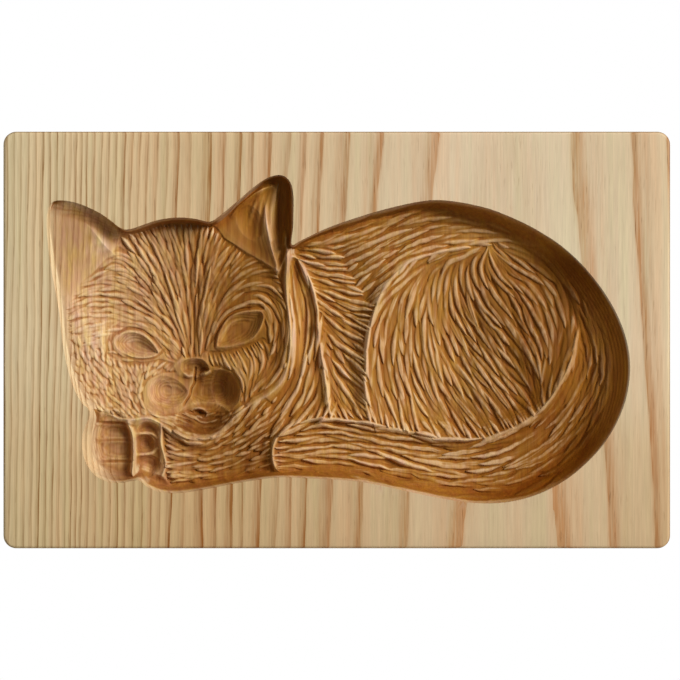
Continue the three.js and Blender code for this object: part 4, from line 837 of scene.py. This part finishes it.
class Nodes:
    def __init__(self, mat):
        mat.use_nodes = True; self.t = mat.node_tree; self.t.nodes.clear()
    def node(self, kind, **kw):
        n = self.t.nodes.new(kind)
        for k, v in kw.items(): setattr(n, k, v)
        return n
    def link(self, a, b): self.t.links.new(a, b)
    def put(self, sock, v):
        if isinstance(v, bpy.types.NodeSocket): self.link(v, sock)
        else: sock.default_value = v
    def math(self, op, a, b=None, c=None, clamp=False):
        n = self.node("ShaderNodeMath", operation=op, use_clamp=clamp); self.put(n.inputs[0], a)
        if b is not None: self.put(n.inputs[1], b)
        if c is not None: self.put(n.inputs[2], c)
        return n.outputs[0]
    def vmul(self, v, s):
        n = self.node("ShaderNodeVectorMath", operation="MULTIPLY"); self.put(n.inputs[0], v); n.inputs[1].default_value = s
        return n.outputs[0]
    def vadd(self, v, s):
        n = self.node("ShaderNodeVectorMath", operation="ADD"); self.put(n.inputs[0], v); self.put(n.inputs[1], s)
        return n.outputs[0]
    def noise(self, v, scale=1.0, detail=2.0, rough=0.5, dist=0.0):
        n = self.node("ShaderNodeTexNoise"); n.noise_dimensions = "3D"; self.put(n.inputs["Vector"], v)
        n.inputs["Scale"].default_value = scale; n.inputs["Detail"].default_value = detail; n.inputs["Roughness"].default_value = rough
        n.inputs["Distortion"].default_value = dist
        return n.outputs["Fac"]
    def ramp(self, fac, stops, interp="LINEAR"):
        n = self.node("ShaderNodeValToRGB"); n.color_ramp.interpolation = interp; e = n.color_ramp.elements
        while len(e) > 1: e.remove(e[-1])
        e[0].position, e[0].color = stops[0][0], stops[0][1]
        for p, c in stops[1:]:
            k = e.new(p); k.color = c
        self.put(n.inputs["Fac"], fac)
        return n.outputs["Color"]
    def mix(self, fac, a, b, mode="MIX"):
        n = self.node("ShaderNodeMix", data_type="RGBA", blend_type=mode); self.put(n.inputs[0], fac); self.put(n.inputs[6], a); self.put(n.inputs[7], b)
        return n.outputs[2]
    def attr(self, name):
        n = self.node("ShaderNodeAttribute"); n.attribute_name = name
        return n.outputs["Fac"]
    def maprange(self, v, a, b, c, d, smooth=False):
        n = self.node("ShaderNodeMapRange"); n.interpolation_type = "SMOOTHSTEP" if smooth else "LINEAR"; self.put(n.inputs["Value"], v)
        for k, x in (("From Min", a), ("From Max", b), ("To Min", c), ("To Max", d)): self.put(n.inputs[k], x)
        return n.outputs["Result"]

def ash():
    mat = bpy.data.materials.new("ash_wood"); N = Nodes(mat)
    out = N.node("ShaderNodeOutputMaterial"); bsdf = N.node("ShaderNodeBsdfPrincipled"); N.link(bsdf.outputs[0], out.inputs[0])
    tc = N.node("ShaderNodeTexCoord"); P = N.vmul(tc.outputs["Object"], (1000, 1000, 1000))
    sep = N.node("ShaderNodeSeparateXYZ"); N.link(P, sep.inputs[0]); x, y, z = sep.outputs
    # distance from the pith, which runs under the board, deeper at its upper edge
    dx = N.math("SUBTRACT", x, 41.2)
    dz = N.math("ADD", N.math("ADD", z, 17.7), N.math("MULTIPLY", y, 0.046))
    r = N.math("SQRT", N.math("ADD", N.math("MULTIPLY", dx, dx), N.math("MULTIPLY", dz, dz)))
    w1 = N.noise(N.vmul(P, (0.030, 0.010, 0.030)), detail=2.0); w2 = N.noise(N.vmul(P, (0.22, 0.035, 0.22)), detail=2.0)
    w3 = N.noise(N.vmul(P, (1.2, 0.09, 1.2)), detail=1.0)
    r = N.math("ADD", r, N.math("MULTIPLY", N.math("SUBTRACT", w1, 0.5), 3.0))
    r = N.math("ADD", r, N.math("MULTIPLY", N.math("SUBTRACT", w2, 0.5), 1.1))
    r = N.math("ADD", r, N.math("MULTIPLY", N.math("SUBTRACT", w3, 0.5), 0.35))
    fc = N.node("ShaderNodeFloatCurve"); cu = fc.mapping.curves[0]; n = len(RINGS)-1
    pts = [(rr/R_MAX, i/n*0.98) for i, rr in enumerate(RINGS)]
    cu.points[0].location = pts[0]; cu.points[1].location = (1.0, 0.98+(R_MAX-RINGS[-1])/1.7/n*0.98)
    for p in pts[1:]: cu.points.new(*p)
    for p in cu.points: p.handle_type = "VECTOR"
    fc.mapping.update()
    N.put(fc.inputs["Value"], N.math("DIVIDE", r, R_MAX)); fc.inputs["Factor"].default_value = 1.0
    phase = N.math("MULTIPLY", fc.outputs[0], n/0.98)
    f = N.math("FRACT", phase); ring = N.math("FLOOR", phase)
    wn = N.node("ShaderNodeTexWhiteNoise", noise_dimensions="1D"); N.link(ring, wn.inputs["W"]); rnd = wn.outputs["Value"]
    # early wood: dark line on the pith side, fading outwards, with a row or two of pores behind it
    early = N.ramp(f, [(0.0, (1, 1, 1, 1)), (0.12, (0.90, 0.90, 0.90, 1)), (0.26, (0.40, 0.40, 0.40, 1)), (0.36, (0.50, 0.50, 0.50, 1)), (0.50, (0.16, 0.16, 0.16, 1)), (0.80, (0.02, 0.02, 0.02, 1)), (0.95, (0.15, 0.15, 0.15, 1)), (1.0, (0.85, 0.85, 0.85, 1))])
    sepc = N.node("ShaderNodeSeparateColor"); N.link(early, sepc.inputs[0]); e = sepc.outputs[0]
    e = N.math("MULTIPLY", e, N.maprange(rnd, 0, 1, 0.40, 1.05))
    # in the wide rings the early wood is a narrower share
    wide = N.math("MULTIPLY", N.maprange(r, 44.0, 58.0, 0.55, 0.0, True), N.maprange(f, 0.10, 0.30, 0.0, 1.0, True))
    e = N.math("MULTIPLY", e, N.math("SUBTRACT", 1.0, wide))
    fib = N.noise(N.vmul(P, (2.3, 0.07, 2.3)), detail=2.0, rough=0.55)
    e = N.math("MULTIPLY", e, N.maprange(fib, 0.30, 0.70, 0.55, 1.30), clamp=True)
    # how far a point takes the colour of the cut surface, with painted shade and painted light on the walls by the rim
    groove = N.attr("groove"); geo = N.node("ShaderNodeNewGeometry"); sn = N.node("ShaderNodeSeparateXYZ"); N.link(geo.outputs["Normal"], sn.inputs[0])
    carved = N.maprange(N.attr("depth"), 0.05, N.maprange(x, -20.0, 10.0, 2.2, 0.4, True), 0.0, 1.0, True)
    # painted shade: walls that face down, away from the light, take the dark cut colour from the rim on
    upper_wall_shade = N.math("MULTIPLY", N.maprange(N.attr("depth"), 0.05, 0.5, 0.0, 1.0, True), N.maprange(sn.outputs[1], -0.12, -0.42, 0.0, 1.0, True))
    carved = N.math("MAXIMUM", carved, upper_wall_shade)
    # painted light: walls near the rim that face right, towards the light, keep the pale face colour
    lit_wall_paling = N.math("MULTIPLY", N.maprange(sn.outputs[0], 0.45, 0.85, 0.0, 1.0, True), N.maprange(N.attr("edge"), 2.0, 4.0, 1.0, 0.0, True))
    carved = N.math("MULTIPLY", carved, N.math("SUBTRACT", 1.0, N.math("MULTIPLY", lit_wall_paling, 0.92)))
    e = N.math("MULTIPLY", e, N.math("ADD", 1.0, N.math("MULTIPLY", carved, N.maprange(x, -62.0, -40.0, 0.0, -0.60, True))))
    # colours from the pith out: pale with orange bands, pinkish, then greyer beige
    rr = N.math("DIVIDE", r, R_MAX)
    pale = N.ramp(rr, [(0.285, srgb(229, 211, 183)), (0.43, srgb(225, 203, 168)), (0.63, srgb(224, 198, 158)), (0.77, srgb(230, 206, 165)), (0.92, srgb(230, 210, 170))])
    dark = N.ramp(rr, [(0.285, srgb(204, 158, 114)), (0.43, srgb(176, 122, 72)), (0.63, srgb(162, 110, 60)), (0.77, srgb(156, 110, 62)), (0.92, srgb(158, 122, 76))])
    col = N.mix(e, pale, dark)
    # streaks, pores and drifting tone along the grain
    s1 = N.noise(N.vmul(P, (0.85, 0.022, 0.85)), detail=2.0, rough=0.6); s2 = N.noise(N.vmul(P, (3.0, 0.10, 3.0)), detail=2.0, rough=0.6)
    st = N.math("ADD", N.math("MULTIPLY", N.math("SUBTRACT", s1, 0.5), 0.26), N.math("MULTIPLY", N.math("SUBTRACT", s2, 0.5), 0.34))
    br = N.math("ADD", N.math("ADD", 1.0, st), N.math("MULTIPLY", N.math("SUBTRACT", rnd, 0.5), 0.05))
    cmb = N.node("ShaderNodeCombineColor"); [N.link(br, cmb.inputs[k]) for k in range(3)]
    col = N.mix(1.0, col, cmb.outputs[0], "MULTIPLY")
    hue = N.noise(N.vadd(N.vmul(P, (0.30, 0.012, 0.30)), (7.3, 1.1, 4.2)), detail=2.0, rough=0.7)
    col = N.mix(N.math("SUBTRACT", 1.0, N.math("MULTIPLY", carved, 0.6)), col, N.ramp(hue, [(0.30, (0.96, 1.01, 0.97, 1)), (0.50, (1.0, 1.0, 1.0, 1)), (0.72, (1.04, 0.96, 0.93, 1))]), "MULTIPLY")
    # painted shade: the face darkens towards its lower edge, away from the light above
    face_shade_falloff = N.ramp(N.maprange(y, -50.0, 50.0, 0.0, 1.0, True), [(0.0, (0.84, 0.74, 0.60, 1)), (0.14, (0.88, 0.79, 0.66, 1)), (0.30, (0.95, 0.90, 0.82, 1)), (0.50, (1.0, 0.97, 0.92, 1)), (0.85, (0.98, 0.95, 0.88, 1)), (1.0, (0.97, 0.93, 0.86, 1))])
    col = N.mix(N.math("MULTIPLY", N.math("SUBTRACT", 1.0, carved), N.maprange(x, -80.0, -30.0, 0.72, 1.0, True)), col, face_shade_falloff, "MULTIPLY")
    # painted shade on the rounded edges and sides, darkest on the edges that face the key light
    edge_shade = N.math("MULTIPLY", N.maprange(sn.outputs[2], 0.60, 0.97, 1.0, 0.0, True), N.math("SUBTRACT", 1.0, N.maprange(N.attr("edge"), -1.0, -0.2, 0.0, 1.0)))
    lit = N.maprange(N.math("ADD", sn.outputs[0], sn.outputs[1]), -0.2, 0.5, 0.0, 1.0, True)
    col = N.mix(edge_shade, col, N.mix(lit, (0.92, 0.86, 0.74, 1), (0.52, 0.46, 0.40, 1)), "MULTIPLY")
    pn = N.noise(N.vmul(P, (3.4, 0.20, 3.4)), detail=1.0)
    pore = N.maprange(pn, 0.62, 0.72, 0.0, 1.0, True)
    pore = N.math("MULTIPLY", pore, N.math("ADD", 0.18, N.math("MULTIPLY", e, 0.9)), clamp=True)
    col = N.mix(N.math("MULTIPLY", pore, 0.50), col, srgb(122, 80, 42))
    # the cut surface: warmer and darker than the face, partly its own tone and partly painted shade and warm bounce
    # light; the painted shade is deepest in the grooves, and the ridges are pale, partly rubbed and partly a painted
    # highlight
    groove_shade = N.maprange(N.math("MULTIPLY", groove, N.maprange(x, -56.0, -16.0, 1.30, 1.0, True)), -0.42, 0.34, 0.0, 1.0)
    tint_l = N.ramp(groove_shade, [(0.0, (1.0, 0.90, 0.82, 1)), (0.28, (0.99, 0.82, 0.67, 1)), (0.55, (0.88, 0.66, 0.48, 1)), (0.72, (0.69, 0.44, 0.26, 1)), (1.0, (0.53, 0.29, 0.14, 1))])
    tint_r = N.ramp(groove_shade, [(0.0, (0.84, 0.66, 0.52, 1)), (0.28, (0.73, 0.48, 0.235, 1)), (0.55, (0.53, 0.295, 0.090, 1)), (0.72, (0.48, 0.24, 0.056, 1)), (1.0, (0.45, 0.205, 0.045, 1))])
    cut_tone_and_shade = N.mix(N.maprange(x, -60.0, -22.0, 0.0, 1.0, True), tint_l, tint_r)
    # darker up the shaded wall on the right, paler up the lit wall on the left
    wall = N.math("MULTIPLY", N.maprange(N.attr("edge"), 2.0, 7.0, 1.0, 0.0, True), N.maprange(x, 10.0, 60.0, 0.0, 1.0, True))
    cut_tone_and_shade = N.mix(wall, cut_tone_and_shade, (0.86, 0.72, 0.42, 1), "MULTIPLY")
    # painted shade: the haunch darkens towards the tail, where its hollow slopes away from the light; the back beside
    # it stays lighter
    up = N.maprange(y, 17.0, 24.0, 0.0, 1.0, True)
    haunch_shade = N.math("MULTIPLY", N.math("MULTIPLY", N.maprange(x, 22.0, 47.0, 0.0, 1.0, True), N.maprange(x, 60.0, 66.0, 1.0, 0.45, True)), N.math("SUBTRACT", 1.0, up))
    cut_tone_and_shade = N.mix(haunch_shade, cut_tone_and_shade, (0.74, 0.62, 0.42, 1), "MULTIPLY")
    cut_tone_and_shade = N.mix(N.math("MULTIPLY", up, N.maprange(x, 18.0, 34.0, 0.0, 1.0, True)), cut_tone_and_shade, (1.28, 1.34, 1.40, 1), "MULTIPLY")
    # soft spots of painted shadow and painted highlight, with plain tone shifts, from the list of spots
    spot_shade = N.attr("spot_tone_and_shade")
    cut_tone_and_shade = N.mix(N.maprange(spot_shade, 0.0, 1.0, 0.0, 1.0), cut_tone_and_shade, (0.58, 0.50, 0.40, 1), "MULTIPLY")
    cut_tone_and_shade = N.mix(N.maprange(spot_shade, 0.0, -1.0, 0.0, 1.0), cut_tone_and_shade, (1.30, 1.52, 2.10, 1), "MULTIPLY")
    # the wood of the cuts drifts between golden and reddish
    drift = N.noise(N.vadd(N.vmul(P, (0.62, 0.14, 0.62)), (3.1, 8.4, 2.7)), detail=2.0, rough=0.6)
    cut_tone_and_shade = N.mix(1.0, cut_tone_and_shade, N.ramp(drift, [(0.32, (1.05, 1.10, 0.86, 1)), (0.50, (1.0, 1.0, 1.0, 1)), (0.68, (0.94, 0.86, 1.02, 1))]), "MULTIPLY")
    s3 = N.noise(N.vmul(P, (1.55, 0.05, 1.55)), detail=2.0, rough=0.7)
    bead = N.math("ADD", 1.0, N.math("MULTIPLY", N.math("SUBTRACT", s3, 0.5), 0.85))
    bd = N.node("ShaderNodeCombineColor"); N.link(N.math("POWER", bead, 0.8), bd.inputs[0]); N.link(bead, bd.inputs[1]); N.link(N.math("POWER", bead, 1.3), bd.inputs[2])
    flat = N.mix(N.maprange(x, -50.0, -26.0, 0.38, 0.12, True), col, (0.66, 0.54, 0.36, 1))        # the cuts hide part of the rings
    cc = N.mix(1.0, N.mix(1.0, flat, cut_tone_and_shade, "MULTIPLY"), bd.outputs[0], "MULTIPLY")
    # the ridges turn paler: partly rubbed wood and partly a painted highlight along the crests
    rub_highlight_noise = N.maprange(N.noise(N.vmul(P, (0.95, 0.32, 0.95)), detail=2.0, rough=0.6), 0.36, 0.62, 0.35, 1.25, True)
    ridge_rub_and_highlight = N.math("MULTIPLY", N.math("MULTIPLY", N.maprange(N.attr("ridge"), 0.10, 1.0, 0.0, 1.0, True), rub_highlight_noise), N.math("MULTIPLY", N.maprange(x, -54.0, -4.0, 0.26, 0.42, True), N.math("MULTIPLY", N.maprange(N.attr("edge"), 3.0, 9.0, 0.35, 1.0, True), N.maprange(x, 40.0, 60.0, 1.0, 0.6, True))))
    cc = N.mix(ridge_rub_and_highlight, cc, N.mix(1.0, flat, N.mix(N.maprange(x, -54.0, -20.0, 0.0, 1.0), (0.98, 0.85, 0.76, 1), (0.98, 0.80, 0.62, 1)), "MULTIPLY"))
    # painted light: the left wall near the rim, facing the light, keeps less of the dark cut colour
    lit_left_rim_paling = N.math("MULTIPLY", N.math("MULTIPLY", N.maprange(N.attr("edge"), 0.5, 3.6, 1.0, 0.0, True), N.maprange(x, -58.0, -50.0, 1.0, 0.0, True)), N.maprange(sn.outputs[1], -0.35, -0.08, 0.0, 1.0, True))
    col = N.mix(N.math("MULTIPLY", carved, N.math("SUBTRACT", 1.0, N.math("MULTIPLY", lit_left_rim_paling, 0.6))), col, cc)
    N.link(col, bsdf.inputs["Base Color"])
    N.put(bsdf.inputs["Roughness"], N.math("ADD", N.maprange(carved, 0, 1, 0.58, 0.48), N.math("MULTIPLY", N.math("SUBTRACT", s2, 0.5), 0.25)))
    bsdf.inputs["Specular IOR Level"].default_value = 0.06
    # pores and fibres stand in the surface
    hgt = N.math("ADD", N.math("MULTIPLY", pore, -0.6), N.math("MULTIPLY", s2, 0.35))
    bump = N.node("ShaderNodeBump"); bump.inputs["Strength"].default_value = 0.35; bump.inputs["Distance"].default_value = 0.00006
    N.link(hgt, bump.inputs["Height"]); N.link(bump.outputs[0], bsdf.inputs["Normal"])
    return mat

wood = ash()
board.data.materials.append(wood)
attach(board, "root"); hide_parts("mould_board")
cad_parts["mould_board"].data.materials.clear()
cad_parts["mould_board"].data.materials.append(wood)

# ---------------------------------------------------------------- floor and light
def plane(name, sx, sy, z):
    me = bpy.data.meshes.new(name); me.from_pydata([(-sx, -sy, z), (sx, -sy, z), (sx, sy, z), (-sx, sy, z)], [], [(0, 1, 2, 3)])
    o = bpy.data.objects.new(name, me); sc.collection.objects.link(o); return o
floor = plane("floor", 3.0, 3.0, -0.0002)
fm = bpy.data.materials.new("floor_paper"); fm.use_nodes = True
fb = fm.node_tree.nodes["Principled BSDF"]; fb.inputs["Base Color"].default_value = (0, 0, 0, 1); fb.inputs["Roughness"].default_value = 0.9
fb.inputs["Emission Color"].default_value = (1, 1, 1, 1); fb.inputs["Emission Strength"].default_value = 1.0; fb.inputs["Specular IOR Level"].default_value = 0.0
floor.data.materials.append(fm)

def area(name, az, el, dist, size, power, target=(0, 0, 0.012), color=(1, 1, 1)):
    d = bpy.data.lights.new(name, "AREA"); d.shape = "SQUARE"; d.size = size; d.energy = power; d.color = color
    o = bpy.data.objects.new(name, d); sc.collection.objects.link(o)
    a, e = math.radians(az), math.radians(el); t = Vector(target)
    o.location = t+Vector((math.cos(a)*math.cos(e), math.sin(a)*math.cos(e), math.sin(e)))*dist
    o.rotation_euler = (t-o.location).to_track_quat("-Z", "Y").to_euler()
    return o
area("key", 28, 38, 3.2, 1.20, 120.0)
area("fill", 200, 65, 1.4, 1.0, 0.3)
world = bpy.data.worlds.new("world"); sc.world = world; world.use_nodes = True
bg = world.node_tree.nodes["Background"]; bg.inputs[0].default_value = (1, 1, 1, 1); bg.inputs[1].default_value = 0.16
sc.view_settings.view_transform = "Standard"; sc.view_settings.look = "None"

# ---------------------------------------------------------------- end
bpy.context.view_layer.update()
